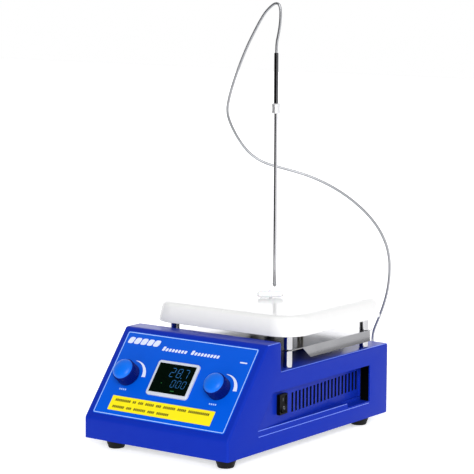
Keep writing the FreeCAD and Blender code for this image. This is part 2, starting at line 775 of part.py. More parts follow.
def standoffs():
    bore = "stud + stud_gap"
    upper = [ring("upper_post", bore, f"{PLATE} - {TRAY_TOP}", f"{x}; {y}; {TRAY_TOP}", "z", MODULE) for x, y in POSTS]
    lower = [ring("lower_post", bore, f"{TRAY} - {DECK}", f"{x}; {y}; {DECK}", "z", MODULE) for x, y in POSTS]
    stud_low = f"({DECK} - wall - nut_height - 2)"
    studs = [rod("stud", f"{PLATE} + stud_into_plate - {stud_low}", f"{x}; {y}; {stud_low}", "z", MODULE)
             for x, y in POSTS]
    nuts = [cut(hexagon("nut_flat", "nut_height", f"{x}; {y}; {DECK} - wall - nut_height", "z", MODULE),
                rod(bore, "nut_height", f"{x}; {y}; {DECK} - wall - nut_height", "z", MODULE)) for x, y in POSTS]
    subpart("upper_standoffs", *upper)
    subpart("lower_standoffs", *lower)
    subpart("standoff_studs", *studs)
    subpart("standoff_nuts", *nuts)
    sleeve = ring("grommet", "grommet - 1.1", "wall + 3", f"{GROMMET_X}; heater_lead_y; {DECK} - wall - 1.5", "z",
                  MODULE)
    groove = ring("grommet + 1", "grommet - 1", "wall", f"{GROMMET_X}; heater_lead_y; {DECK} - wall", "z", MODULE)
    subpart("lead_grommet", cut(sleeve, groove))


# ---------------------------------------------------------------- stirring drive

def stirring_motor():
    top = "(motor_low + motor_height)"
    barrel = rod("motor", "motor_height", "0; 0; motor_low", "z", MODULE)
    cavity = rod("motor_cavity", "motor_height - 2 * motor_wall", "0; 0; motor_low + motor_wall", "z", MODULE)
    seats = rod("bearing", "motor_height", "0; 0; motor_low", "z", MODULE)
    around = [(f"{sx} * bracket_screw_radius / sqrt(2)", f"{sy} * bracket_screw_radius / sqrt(2)")
              for sx in ("-1", "1") for sy in ("-1", "1")]
    taps = [rod("screw + 0.05", "motor_wall", f"{x}; {y}; {top} - motor_wall", "z", MODULE) for x, y in around]
    subpart("motor_housing", cut(barrel, cavity, seats, *taps))
    bearings = [ring("bearing", "shaft + shaft_gap", "motor_wall", f"0; 0; {low}", "z", MODULE)
                for low in ("motor_low", f"{top} - motor_wall")]
    subpart("motor_bearings", *bearings)
    strap = box("bracket_x", "bracket_y", "bracket_sheet", f"0; 0; {top}", MODULE)
    legs = [box("6", "bracket_y", f"{DECK} - wall - {top}", f"{side} * (bracket_x / 2 - 3); 0; {top}", MODULE)
            for side in ("-1", "1")]
    passages = [rod("screw + screw_gap", "8", f"{x}; {y}; {top} - 2", "z", MODULE) for x, y in around]
    passages.append(rod("bearing", "8", f"0; 0; {top} - 2", "z", MODULE))
    subpart("motor_bracket", cut(fuse(strap, *legs), *passages))
    screws = [fuse(rod("screw_head", "1.8", f"{x}; {y}; {top} + bracket_sheet", "z", MODULE),
                   rod("screw", "bracket_sheet + motor_wall - 0.5", f"{x}; {y}; {top} - motor_wall + 0.5", "z",
                       MODULE))
              for x, y in around]
    subpart("motor_screws", *screws)
    holder_top = f"({PLATE} - holder_gap)"
    subpart("rotor_shaft", rod("shaft", f"{holder_top} - motor_low + 2", "0; 0; motor_low - 2", "z", MODULE))
    rotor_low = "motor_low + (motor_height - rotor_height) / 2"
    subpart("rotor_core", ring("rotor", "shaft", "rotor_height", f"0; 0; {rotor_low}", "z", MODULE))
    disc = fuse(rod("holder", "holder_height", f"0; 0; {holder_top} - holder_height", "z", MODULE),
                rod("shaft + 3", "8", f"0; 0; {holder_top} - holder_height - 4", "z", MODULE))
    pockets = [rod("magnet", "magnet_height", f"{side} * magnet_offset; 0; {holder_top} - magnet_height", "z", MODULE)
               for side in ("-1", "1")]
    bore = rod("shaft", "30", f"0; 0; {holder_top} - 30", "z", MODULE)
    subpart("magnet_holder", cut(disc, bore, *pockets))
    magnets = [rod("magnet", "magnet_height", f"{side} * magnet_offset; 0; {holder_top} - magnet_height", "z", MODULE)
               for side in ("-1", "1")]
    subpart("drive_magnets", *magnets)


def stir_bar():
    lying = MODULE + placement("0", "0", f"({PLATE_TOP} + bar_ring + 0.1)", "0; 0; 1", "bar_turn") + " * "
    straight = "(bar_length / 2 - bar_radius)"
    ends = []
    for side in ("-1", "1"):
        end = doc.addObject("Part::Sphere", "end")
        bind(end, "Radius", "bar_radius")
        bind(end, "Placement", lying + placement(f"{side} * {straight}", "0", "0"))
        ends.append(end)
    jacket = fuse(rod("bar_radius", f"2 * {straight}", f"-{straight}; 0; 0", "x", lying),
                  rod("bar_ring", "bar_ring_length", "-bar_ring_length / 2; 0; 0", "x", lying), *ends)
    core = "bar_core_length / 2"
    subpart("stir_bar_jacket", cut(jacket, rod("bar_core", "bar_core_length", f"-{core}; 0; 0", "x", lying)))
    subpart("stir_bar_magnet", rod("bar_core", "bar_core_length", f"-{core}; 0; 0", "x", lying))


# ---------------------------------------------------------------- rear connections

def mains_inlet():
    flange = box("inlet_width", "inlet_flange", "inlet_height", "inlet_x; depth; inlet_z", middle="xz")
    trunk = box("inlet_width - 4.4", "inlet_body", "inlet_height - 4.4", "inlet_x; depth - inlet_body; inlet_z",
                middle="xz")
    cavity = box("socket_width", "socket_depth", "socket_height",
                 "inlet_x; depth + inlet_flange - socket_depth; inlet_z + socket_up", middle="xz")
    drawer_bay = box("drawer_width + 2 * drawer_gap", "drawer_depth + 1", "drawer_height + 2 * drawer_gap",
                     "inlet_x; depth + inlet_flange - drawer_depth - 1; inlet_z - drawer_down", middle="xz")
    subpart("mains_inlet", cut(fuse(flange, trunk), cavity, drawer_bay))
    pins = [box("2", "socket_depth - 4", "4", f"inlet_x + {x}; depth + inlet_flange - socket_depth; "
                f"inlet_z + socket_up + {z}", middle="xz") for x, z in (("-7", "-2"), ("7", "-2"), ("0", "2"))]
    subpart("inlet_pins", *pins)
    tray = box("drawer_width", "drawer_depth", "drawer_height",
               "inlet_x; depth + inlet_flange - drawer_depth; inlet_z - drawer_down", middle="xz")
    fuse_y = "depth + inlet_flange - drawer_depth + 8"
    slot = box("fuse_length + 1", "2 * fuse + 0.6", "drawer_height",
               f"inlet_x; {fuse_y}; inlet_z - drawer_down - drawer_height / 2 + 1", middle="xy")
    thumb = box("8", "1.2", "2", "inlet_x; depth + inlet_flange; inlet_z - drawer_down", middle="xz")
    subpart("fuse_drawer", cut(fuse(tray, thumb), slot))
    subpart("fuse_cartridge", rod("fuse", "fuse_length", f"inlet_x - fuse_length / 2; {fuse_y}; "
                                  "inlet_z - drawer_down - drawer_height / 2 + 1 + fuse", "x"))


def rear_rod(radius, start, length):
    return rod(radius, length, f"probe_x; {start}; probe_z", "y")


def probe_connector():
    barrel = fuse(rear_rod("socket_barrel", "depth - 12", "12 + socket_out"),
                  rear_rod("socket_flange", "depth", "2"))
    subpart("probe_socket", cut(barrel, rear_rod("plug + 0.1", "depth + 1", "socket_out")))
    nut_low = "depth - wall - 3"
    subpart("probe_socket_nut", cut(hexagon("socket_flange", "3", f"probe_x; {nut_low}; probe_z", "y"),
                                    rear_rod("socket_barrel + 0.05", nut_low, "3")))
    shell_start = "depth + socket_out + 0.2"
    subpart("probe_plug", fuse(rear_rod("plug", "depth + 2", "socket_out"),
                               rear_rod("plug_shell", shell_start, "plug_out - socket_out - 0.2")))
    subpart("plug_ring", ring("socket_barrel + ring_gap + ring_wall", "socket_barrel + ring_gap", "ring_length",
                              "probe_x; depth + ring_start; probe_z", "y"))
    subpart("probe_strain_relief", ring("relief", "lead + 0.05", "relief_out - plug_out",
                                        "probe_x; depth + plug_out; probe_z", "y"))


# ---------------------------------------------------------------- temperature probe

def bent_path(points):
    """A wire of straight runs joined by tangent arcs, as large as the two runs at each bend allow."""
    edges = []
    radii = []
    start = points[0]
    for before, corner, after in zip(points, points[1:], points[2:]):
        inward = (corner - before).normalize()
        outward = (after - corner).normalize()
        turn = inward.getAngle(outward)
        back_off = 0.45 * min(before.distanceToPoint(corner), corner.distanceToPoint(after))
        radii.append(back_off / math.tan(turn / 2))
        first = corner - inward * back_off
        last = corner + outward * back_off
        towards_centre = (outward - inward).normalize()
        centre = corner + towards_centre * (back_off / math.sin(turn / 2))
        middle = centre - towards_centre * radii[-1]
        edges.append(Part.LineSegment(start, first).toShape())
        edges.append(Part.Arc(first, middle, last).toShape())
        start = last
    edges.append(Part.LineSegment(start, points[-1]).toShape())
    return Part.Wire(edges), radii


def lead_points():
    """The drawn route with its ends carried to the plug and the handle, and the shift shared out between."""
    drawn = [FreeCAD.Vector(*point) for point in LEAD_ROUTE]
    plug = FreeCAD.Vector(number(f"probe_x - {ORIGIN_X}"), number(f"depth + relief_out - {ORIGIN_Y}"),
                          number("probe_z")) - drawn[0]
    handle = FreeCAD.Vector(number(f"module_x + probe_from_module_x - {ORIGIN_X}"),
                            number(f"module_y + probe_from_module_y - {ORIGIN_Y}"),
                            number("probe_top")) - drawn[-1]
    moved = []
    for index, point in enumerate(drawn):
        share = min(max((index - 3) / (len(drawn) - 12), 0), 1)
        moved.append(point + plug * (1 - share) + handle * share)
    return moved


def probe_lead():
    points = lead_points()
    path, radii = bent_path(points)
    radius = number("lead")
    first = points[0]
    towards = points[1] - first
    profile = Part.Wire(Part.Circle(first, towards, radius).toShape())
    tube = path.makePipeShell([profile], True, False)
    expected = math.pi * radius ** 2 * path.Length
    print("lead length", round(path.Length, 1), "radii", [round(each, 1) for each in radii])
    print("lead volume over section times length", round(tube.Volume / expected, 4))
    lead = doc.addObject("Part::Feature", "lead")
    lead.Shape = tube
    lead.Label = "probe_lead"
    lead.Placement = FreeCAD.Placement()
    SUBPARTS.append(lead)


def temperature_probe():
    at = "module_x + probe_from_module_x; module_y + probe_from_module_y; "
    tip = f"({PLATE_TOP} + tip_above_plate)"
    subpart("probe_handle", rod("handle", "probe_top - handle_bottom", at + "handle_bottom"))
    subpart("probe_collar", ring("collar", "sheath + 0.05", "handle_bottom - collar_bottom", at + "collar_bottom"))
    rounded_tip = doc.addObject("Part::Sphere", "tip")
    bind(rounded_tip, "Radius", "sheath")
    bind(rounded_tip, "Placement", placement(*(at + f"{tip} + sheath").split(";")))
    straight = rod("sheath", f"handle_bottom - {tip} - sheath", at + f"{tip} + sheath")
    subpart("probe_sheath", fuse(straight, rounded_tip))


# ---------------------------------------------------------------- power electronics

def power_electronics():
    board_top = "(power_level + board_sheet)"
    at = "power_x; power_y; "
    subpart("power_board", box("power_width", "power_length", "board_sheet", at + "power_level"))
    core = box("core_width", "core_width * 0.8", "core_height", f"power_x - 8; power_y; {board_top}")
    subpart("power_transformer", core)
    capacitors = [rod("5", "16", f"power_x + 20; power_y + {step}; {board_top}") for step in ("-14", "0", "14")]
    subpart("power_capacitors", *capacitors)
    sink = box("sink_width", "sink_length", "3", f"sink_x; sink_y; {BASE_TOP}")
    gap = "(sink_width - sink_fin) / (sink_fins - 1)"
    fins = [box("sink_fin", "sink_length", "sink_height",
                f"sink_x - sink_width / 2 + sink_fin / 2 + {index} * {gap}; sink_y; {BASE_TOP}")
            for index in range(int(SIZES["sink_fins"]))]
    subpart("heat_sink", fuse(sink, *fins))
    subpart("heater_triac", box("triac", "4.5", "15", f"sink_x; sink_y - sink_length / 2 - 2.25; {BASE_TOP} + 8"))


upper_housing()
base_plate()
feet()
control_panel()
rocker_switch()
heating_plate()
reflector_tray()
standoffs()
stirring_motor()
stir_bar()
mains_inlet()
probe_connector()
probe_lead()
temperature_probe()
power_electronics()

# ---------------------------------------------------------------- check and write

doc.recompute()
for item in doc.Objects:
    if {"Invalid", "Error"} & set(item.State):
        raise RuntimeError(f"{item.Label} did not compute: {item.State}")
os.makedirs("parts", exist_ok=True)
for part in SUBPARTS:
    if part.Shape.isNull() or not part.Shape.isValid():
        raise RuntimeError(f"{part.Label} is not a valid shape")
    part.Shape.exportStep(f"parts/{part.Label}.step")
print(len(SUBPARTS), "sub-parts")
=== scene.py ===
# %% [markdown]
# # A hotplate magnetic stirrer
#
# The object is a blue sheet-steel housing with a sloping control panel, a square white heating plate on four
# bright posts, a polished tray between plate and housing, and a thin temperature probe that hangs from its own
# stiff lead.  The mechanical design is already fixed: it is loaded first, and every piece made here is placed
# from it and rides on one of its bodies.

import json
import math

import bmesh
import bpy
from mathutils import Matrix, Vector


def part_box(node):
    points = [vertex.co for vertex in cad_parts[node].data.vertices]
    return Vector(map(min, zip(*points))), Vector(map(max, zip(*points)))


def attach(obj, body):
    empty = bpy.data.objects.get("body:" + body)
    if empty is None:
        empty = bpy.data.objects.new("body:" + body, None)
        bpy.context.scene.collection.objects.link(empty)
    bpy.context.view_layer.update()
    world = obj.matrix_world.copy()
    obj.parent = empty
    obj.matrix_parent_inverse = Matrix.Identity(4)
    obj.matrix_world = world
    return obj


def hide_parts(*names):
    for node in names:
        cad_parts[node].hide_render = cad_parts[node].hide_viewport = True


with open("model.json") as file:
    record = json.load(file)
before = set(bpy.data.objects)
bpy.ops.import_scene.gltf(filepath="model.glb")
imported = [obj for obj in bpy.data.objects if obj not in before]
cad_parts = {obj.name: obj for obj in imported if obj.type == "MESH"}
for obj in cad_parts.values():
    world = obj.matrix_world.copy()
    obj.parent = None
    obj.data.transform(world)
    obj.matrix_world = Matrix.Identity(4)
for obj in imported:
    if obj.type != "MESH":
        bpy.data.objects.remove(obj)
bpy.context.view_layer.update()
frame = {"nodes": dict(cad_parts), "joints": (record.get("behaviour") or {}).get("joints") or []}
MM = 0.001
nodes = frame["nodes"]
joints = {joint["name"]: joint for joint in frame["joints"]}

# %% [markdown]
# ## Camera
#
# A long lens stands well back, a little above the plate, and looks at the front right corner.  The camera is
# aimed by three angles about a target in the middle of the scene, the way a photographer would walk round it.

# %% Camera
AZIMUTH = math.radians(36.1)
ELEVATION = math.radians(7.63)
ROLL = math.radians(0.31)
TARGET = Vector((-0.0131, -0.0023, 0.2129))
DISTANCE = 2.2298

turn = (Matrix.Rotation(AZIMUTH, 4, "Z") @ Matrix.Rotation(math.pi / 2 - ELEVATION, 4, "X")
        @ Matrix.Rotation(ROLL, 4, "Z"))
lens = bpy.data.cameras.new("camera")
lens.lens = 157.1
lens.sensor_width = 36
camera = bpy.data.objects.new("camera", lens)
camera.matrix_world = Matrix.Translation(TARGET + turn.to_3x3() @ Vector((0, 0, DISTANCE))) @ turn
bpy.context.scene.collection.objects.link(camera)
bpy.context.scene.camera = camera

# %% [markdown]
# ## Materials
#
# Each finish starts from the real one: powder coat, printed film, moulded plastic, fired ceramic, polished and
# plated steel.  Colours are written as sRGB hex values and turned to linear light by one function, and one other
# function adds a shader node with its settings and links.

# %% Colour and node helpers
def linear(hex_colour):
    """An sRGB hex colour as the linear values that a shader takes."""
    shares = [int(hex_colour[start:start + 2], 16) / 255 for start in (1, 3, 5)]
    return tuple(c / 12.92 if c <= 0.04045 else ((c + 0.055) / 1.055) ** 2.4 for c in shares) + (1.0,)


def add(tree, kind, settings=None, links=None):
    """Add a shader node, set its fields or unlinked sockets, and link its inputs."""
    made = tree.nodes.new(kind)
    for field, value in (settings or {}).items():
        if field in made.inputs:
            made.inputs[field].default_value = value
        else:
            setattr(made, field, value)
    for socket, source in (links or {}).items():
        tree.links.new(source, made.inputs[socket])
    return made


def grain(tree, size_mm, detail=3.0, stretch=(1, 1, 1)):
    """A noise whose features are about size_mm across, fixed to the piece."""
    place = add(tree, "ShaderNodeTexCoord")
    scaled = add(tree, "ShaderNodeMapping", {"Scale": stretch}, {"Vector": place.outputs["Object"]})
    return add(tree, "ShaderNodeTexNoise", {"Scale": 1 / (size_mm * MM), "Detail": detail},
               {"Vector": scaled.outputs["Vector"]}).outputs["Fac"]


def varied(tree, source, low, high):
    """Stretch a 0 to 1 pattern between two values."""
    return add(tree, "ShaderNodeMapRange", {"To Min": low, "To Max": high}, {"Value": source}).outputs["Result"]


def finish(name, colour, rough, metal=0.0, shade=None, grain_mm=1.0, bump_mm=0.0, rough_spread=0.08,
           stretch=(1, 1, 1), **sockets):
    """A surface with a colour that drifts to a second shade, a varied roughness and a fine relief."""
    made = bpy.data.materials.new(name)
    made.use_nodes = True
    tree = made.node_tree
    shader = tree.nodes["Principled BSDF"]
    shader.inputs["Metallic"].default_value = metal
    for socket, value in sockets.items():
        shader.inputs[socket.replace("_", " ")].default_value = value
    cloud = grain(tree, 14 * grain_mm, 2.0, stretch)
    fine = grain(tree, grain_mm, 3.0, stretch)
    mixed = add(tree, "ShaderNodeMix", {"data_type": "RGBA"}, {"Factor": cloud})
    mixed.inputs[6].default_value = linear(colour)
    mixed.inputs[7].default_value = linear(shade or colour)
    tree.links.new(mixed.outputs[2], shader.inputs["Base Color"])
    tree.links.new(varied(tree, cloud, max(rough - rough_spread, 0.02), rough + rough_spread),
                   shader.inputs["Roughness"])
    if bump_mm:
        relief = add(tree, "ShaderNodeBump", {"Strength": 1.0, "Distance": bump_mm * MM}, {"Height": fine})
        tree.links.new(relief.outputs["Normal"], shader.inputs["Normal"])
    return made


# %% The finishes
powder_coat = finish("powder_coated_steel", "#0E2AA0", 0.3, shade="#102EA4", grain_mm=0.9, bump_mm=0.0012,
                     rough_spread=0.02, IOR=1.14)
# A lighter blue for narrow strips along edges: a painted highlight line.
edge_highlight_paint = finish("powder_coat_painted_edge_highlight", "#6A84E8", 0.3, shade="#6480E4", grain_mm=0.9, bump_mm=0.001,
                   rough_spread=0.02, IOR=1.3)
# Near-black for the faces inside the cover: painted shade seen through the vent slots, grip holes and openings.
inside_shade_paint = finish("painted_shade_inside", "#040508", 0.6, shade="#0C0D13", grain_mm=1.5, bump_mm=0.004, IOR=1.2)
printed_film = finish("printed_polyester_film", "#0052CC", 0.34, shade="#0056D2", grain_mm=1.2, bump_mm=0.001,
                      rough_spread=0.03, IOR=1.2)
white_ink = finish("white_screen_ink", "#D8DEF2", 0.45, shade="#D0D8F0", grain_mm=0.6, bump_mm=0.01)
grey_ink = finish("grey_paint_fill", "#70747C", 0.5, shade="#686C74", grain_mm=0.6, bump_mm=0.01)
line_ink = finish("pale_blue_screen_ink", "#A0C0F0", 0.45, shade="#A8C8F4", grain_mm=0.6, bump_mm=0.01)
yellow_vinyl = finish("yellow_vinyl_label", "#F4E400", 0.42, shade="#F0DE00", grain_mm=0.8, bump_mm=0.004)
dark_ink = finish("dark_screen_ink", "#2A2608", 0.5, shade="#222006", grain_mm=0.5, bump_mm=0.006)
white_abs = finish("white_moulded_abs", "#C6CBD8", 0.32, shade="#BEC4D2", grain_mm=0.5, bump_mm=0.006)
black_abs = finish("black_moulded_abs", "#030304", 0.4, shade="#060607", grain_mm=0.4, bump_mm=0.004, IOR=1.14)
dark_lens = finish("tinted_acrylic_lens", "#020A05", 0.08, shade="#030D07", grain_mm=2.0, rough_spread=0.02,
                   IOR=1.25)
# One blue moulding in two colours: the darker skirt blue is painted shade, the lighter cap blue is painted light.
skirt_blue_painted_shade = finish("blue_abs_skirt_painted_shade", "#021468", 0.34, shade="#04186E", grain_mm=0.5, bump_mm=0.002, IOR=1.2)
cap_blue_painted_light = finish("blue_abs_cap_painted_light", "#0268DC", 0.36, shade="#0664D6", grain_mm=0.5, bump_mm=0.001, IOR=1.3)
ceramic = finish("fired_white_ceramic", "#E4E4E3", 0.24, shade="#E0E0DF", grain_mm=0.7, bump_mm=0.006,
                 Coat_Weight=0.25, Coat_Roughness=0.1)
mirror_steel = finish("mirror_polished_stainless", "#9A9A9C", 0.16, 1.0, "#909093", 1.5, 0.002, 0.04)
chrome = finish("bright_plated_steel", "#CBCBCD", 0.1, 1.0, "#C0C0C3", 1.0, 0.0, 0.03)
# Steel lighter than bare steel for the probe collar: painted light.
collar_steel_painted_light = finish("satin_turned_steel_painted_light", "#F2F2F3", 0.45, 1.0, "#EAEAEC", 0.5, 0.002, 0.05)
stainless = finish("drawn_stainless_tube", "#C4C4C6", 0.16, 1.0, "#B4B4B8", 0.6, 0.002, 0.05, (8, 8, 0.4))
# The handle tube's steel is darker than the sheath's: a painted darker reflection.
handle_steel_painted_dark = finish("handle_tube_painted_dark_reflection", "#6A6A6C", 0.14, 1.0, "#606063", 0.6, 0.002, 0.05, (8, 8, 0.4))
zinc = finish("zinc_plated_steel", "#A9ABAF", 0.38, 1.0, "#989AA2", 0.8, 0.006)
ground_steel = finish("ground_steel", "#9FA0A3", 0.28, 1.0, "#8E9094", 0.4, 0.004)
cast_aluminium = finish("cast_aluminium", "#A8AAAE", 0.5, 1.0, "#93969B", 0.8, 0.04)
brass = finish("plated_brass", "#C9A356", 0.3, 1.0, "#B89248", 0.6, 0.004)
rubber = finish("black_moulded_rubber", "#040405", 0.6, shade="#060607", grain_mm=0.5, bump_mm=0.01,
                IOR=1.3)
silicone = finish("braided_silicone_sleeve", "#CFC8B8", 0.7, shade="#BDB5A3", grain_mm=0.7, bump_mm=0.12)
laminate = finish("green_circuit_laminate", "#0F5A33", 0.35, shade="#0C4A2A", grain_mm=1.5, bump_mm=0.01)
mica = finish("mica_heater_sheet", "#8D7A5C", 0.6, shade="#7A694E", grain_mm=2.5, bump_mm=0.04)
wool = finish("ceramic_wool", "#E6E4DC", 0.95, shade="#D8D5CB", grain_mm=1.2, bump_mm=0.25)
windings = finish("varnished_copper_windings", "#9A5526", 0.4, 0.7, "#7F4219", 0.8, 0.08)
nickel = finish("nickel_plated_magnet", "#B7B2A8", 0.22, 1.0, "#A8A399", 0.8, 0.002)
ptfe = finish("white_ptfe", "#F1F2F4", 0.42, shade="#E9EBEE", grain_mm=0.6, bump_mm=0.006,
              Subsurface_Weight=0.08, Subsurface_Scale=0.002)
fuse_glass = finish("fuse_glass_tube", "#E4ECEC", 0.05, shade="#DCE8E8", grain_mm=1.0, rough_spread=0.02,
                    Transmission_Weight=0.9)
print(len(bpy.data.materials), "finishes")

# %% [markdown]
# ### Light from the display
#
# The lit segments are the only surface that gives light.  They are dim behind the tinted lens, so the strength is
# set just high enough to read them against the dark.

# %% Lit segments
segment_blue = finish("lit_blue_segment", "#0E3A66", 0.4, shade="#123F6C", grain_mm=0.5)
segment_blue.node_tree.nodes["Principled BSDF"].inputs["Emission Color"].default_value = linear("#2E74B0")
segment_blue.node_tree.nodes["Principled BSDF"].inputs["Emission Strength"].default_value = 0.5
pilot_green = finish("lit_green_pilot", "#0B3A16", 0.4, shade="#0D4219", grain_mm=0.5)
pilot_green.node_tree.nodes["Principled BSDF"].inputs["Emission Color"].default_value = linear("#1C7A32")
pilot_green.node_tree.nodes["Principled BSDF"].inputs["Emission Strength"].default_value = 0.35

# %% [markdown]
# ## From bmesh to piece
#
# Every new piece goes through the same last steps: double points are merged, the faces are turned outwards, the
# mesh is shaded smooth except across sharp angles, and the piece is tied to its body and material slot.

# %% Finishing a piece
def place(bm, matrix):
    bmesh.ops.transform(bm, matrix=matrix, verts=bm.verts)
    return bm


def faced_outwards(bm):
    """Turn every face outwards; a closed solid that still measures negative is inside out."""
    bm.normal_update()
    bmesh.ops.recalc_face_normals(bm, faces=bm.faces)
    if bm.calc_volume(signed=True) < 0:
        bmesh.ops.reverse_faces(bm, faces=bm.faces[:])
    return bm


def piece(name, bm, material, body, replaces=(), sharp=32):
    bmesh.ops.remove_doubles(bm, verts=bm.verts, dist=1e-6)
    faced_outwards(bm)
    mesh = bpy.data.meshes.new(name)
    bm.to_mesh(mesh)
    bm.free()
    mesh.materials.append(material)
    mesh.shade_smooth()
    mesh.set_sharp_from_angle(angle=math.radians(sharp))
    made = bpy.data.objects.new(name, mesh)
    bpy.context.scene.collection.objects.link(made)
    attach(made, body)
    if replaces:
        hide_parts(*replaces)
    return made


def rounded_edges(bm, radius, segments=3, wanted=None):
    edges = [edge for edge in bm.edges if wanted is None or wanted(edge)]
    bmesh.ops.bevel(bm, geom=edges, offset=radius, segments=segments, profile=0.5, affect="EDGES", material=-1)
    return bm


def block(size, radius=0.0, segments=3, centre=(0, 0, 0)):
    """A box with its middle at centre and all its edges rounded."""
    bm = bmesh.new()
    bmesh.ops.create_cube(bm, size=1, matrix=Matrix.Diagonal((*size, 1)))
    if radius:
        rounded_edges(bm, radius, segments)
    return place(bm, Matrix.Translation(centre))


def slab(width, length, thickness, corner, edge=0.0, segments=8):
    """A flat plate lying on z = 0, centred, with rounded corners and softened upper edge."""
    bm = bmesh.new()
    bmesh.ops.create_cube(bm, size=1, matrix=Matrix.Translation((0, 0, thickness / 2))
                          @ Matrix.Diagonal((width, length, thickness, 1)))
    rounded_edges(bm, corner, segments, lambda e: abs(e.verts[0].co.z - e.verts[1].co.z) > thickness / 2)
    if edge:
        top = thickness - 1e-7
        rounded_edges(bm, edge, 3, lambda e: min(v.co.z for v in e.verts) > top and not
                      all(abs(f.normal.z) > 0.9 for f in e.link_faces))
    return bm


def turned(profile, steps=64, axis=(0, 0, 1)):
    """A solid of revolution about z from an outline of (radius, height) points."""
    bm = bmesh.new()
    points = [bm.verts.new((radius, 0, height)) for radius, height in profile]
    for first, second in zip(points, points[1:]):
        bm.edges.new((first, second))
    bmesh.ops.spin(bm, geom=bm.verts[:] + bm.edges[:], cent=(0, 0, 0), axis=(0, 0, 1), angle=2 * math.pi,
                   steps=steps, use_merge=True)
    bmesh.ops.remove_doubles(bm, verts=bm.verts, dist=1e-6)
    return place(bm, Vector((0, 0, 1)).rotation_difference(Vector(axis)).to_matrix().to_4x4())


def together(*meshes):
    """Join several bmeshes into the first."""
    first = meshes[0]
    for other in meshes[1:]:
        spare = bpy.data.meshes.new("spare")
        other.to_mesh(spare)
        other.free()
        first.from_mesh(spare)
        bpy.data.meshes.remove(spare)
    return first


def carved(base, cutters, operation="DIFFERENCE"):
    """Apply exact booleans of one bmesh with others and hand back the result."""
    objects = []
    for bm in (base, *cutters):
        faced_outwards(bm)
        mesh = bpy.data.meshes.new("cutting")
        bm.to_mesh(mesh)
        bm.free()
        for _ in range(3):
            mesh.materials.append(None)
        made = bpy.data.objects.new("cutting", mesh)
        bpy.context.scene.collection.objects.link(made)
        objects.append(made)
    for cutter in objects[1:]:
        step = objects[0].modifiers.new("cut", "BOOLEAN")
        step.operation = operation
        step.solver = "EXACT"
        step.material_mode = "INDEX"
        step.object = cutter
    view = bpy.context.evaluated_depsgraph_get()
    result = bmesh.new()
    result.from_mesh(bpy.data.meshes.new_from_object(objects[0].evaluated_get(view)))
    for made in objects:
        bpy.data.objects.remove(made)
    return result


# %% [markdown]
# ## Places
#
# The panel's own frame has its x to the right, y up the slope and z straight out of the panel.  It comes from the
# dial joint, whose axis is the panel's normal.  The heating module's centre comes from the plate.

# %% The panel's frame and the module's centre
DIAL_X, DIAL_Y, DIAL_JOINT_LIFT = 59.5 * MM, 54.0 * MM, 10.0 * MM
FILM = 0.5 * MM
dial = joints["heat_dial_turn"]
outward = Vector(dial["axis"]).normalized()
slope_up = outward.cross(Vector((1, 0, 0)))
panel_origin = (Vector(dial["pos_m"]) - outward * DIAL_JOINT_LIFT + Vector((DIAL_X, 0, 0)) - slope_up * DIAL_Y)
PANEL = Matrix.Translation(panel_origin) @ Matrix((Vector((1, 0, 0)), slope_up, outward)).transposed().to_4x4()


def on_panel(bm, x, y, lift=FILM):
    return place(bm, PANEL @ Matrix.Translation((x, y, lift)))


house_low, house_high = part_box("upper_housing")
plate_low, plate_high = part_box("heating_plate")
centre = (plate_low + plate_high) / 2
MODULE = Matrix.Translation((centre.x, centre.y, 0))
print("panel slope", round(math.degrees(math.acos(outward.z)), 1), "degrees; module at", tuple(centre))

# %% [markdown]
# ## Housing
#
# The real cover is folded and welded sheet steel under a satin powder coat, so its corners are small soft radii.
# Its side view is drawn once as a face, pushed across to the other side, and its edges are bevelled.  A smaller
# copy hollows it out; its inner faces are near-black, painted shade seen through the slots and holes.  The side
# recesses, vent slots and openings are cut with booleans, because they pass through thin walls at odd angles.  A
# last narrow bevel and a strip of each rounded upper edge take a lighter blue, a painted highlight line.

# %% Housing values
WALL = 1.6 * MM
RIDGE_START, RIDGE_END = 68.9 * MM, 93.6 * MM
FRONT_HEIGHT, DECK_HEIGHT = 22.5 * MM, 78.4 * MM
front_y, rear_y = house_low.y, house_high.y
under_z, ridge_z = house_low.z, house_high.z
deck_z = under_z + DECK_HEIGHT
half_width = (house_high.x - house_low.x) / 2
house_x = (house_high.x + house_low.x) / 2


def side_prism(inset, half, drop=0.0):
    """The housing's side view, drawn in by inset, as a solid of the given half width."""
    slant = inset * math.tan(math.acos(outward.z) / 2)
    outline = [
        (front_y + inset, under_z - drop),
        (front_y + inset, under_z + FRONT_HEIGHT - slant),
        (front_y + RIDGE_START + slant, ridge_z - inset),
        (front_y + RIDGE_END - inset, ridge_z - inset),
        (front_y + RIDGE_END - inset, deck_z - inset),
        (rear_y - inset, deck_z - inset),
        (rear_y - inset, under_z - drop),
    ]
    bm = bmesh.new()
    side = bm.faces.new([bm.verts.new((house_x - half, y, z)) for y, z in outline])
    pushed = bmesh.ops.extrude_face_region(bm, geom=[side])
    moved = [item for item in pushed["geom"] if isinstance(item, bmesh.types.BMVert)]
    bmesh.ops.translate(bm, vec=(2 * half, 0, 0), verts=moved)
    return bm


# %% The side recess and its slots
RECESS_FRONT, RECESS_SLANT, RECESS_REAR = 51.5 * MM, 27.0 * MM, 264.0 * MM
RECESS_LOW, RECESS_HIGH, LEDGE_TOP, LEDGE_END = 16.9 * MM, 59.6 * MM, 22.4 * MM, 221 * MM
LEDGE_DEPTH = 1.3 * MM
RECESS_SLOPE = 14.2 / 211.0
VENTS, VENT_FIRST, VENT_PITCH = 19, 121.5 * MM, 7.6 * MM
VENT_WIDTH, VENT_LENGTH, VENT_LOW = 3.8 * MM, 20.9 * MM, 30.5 * MM


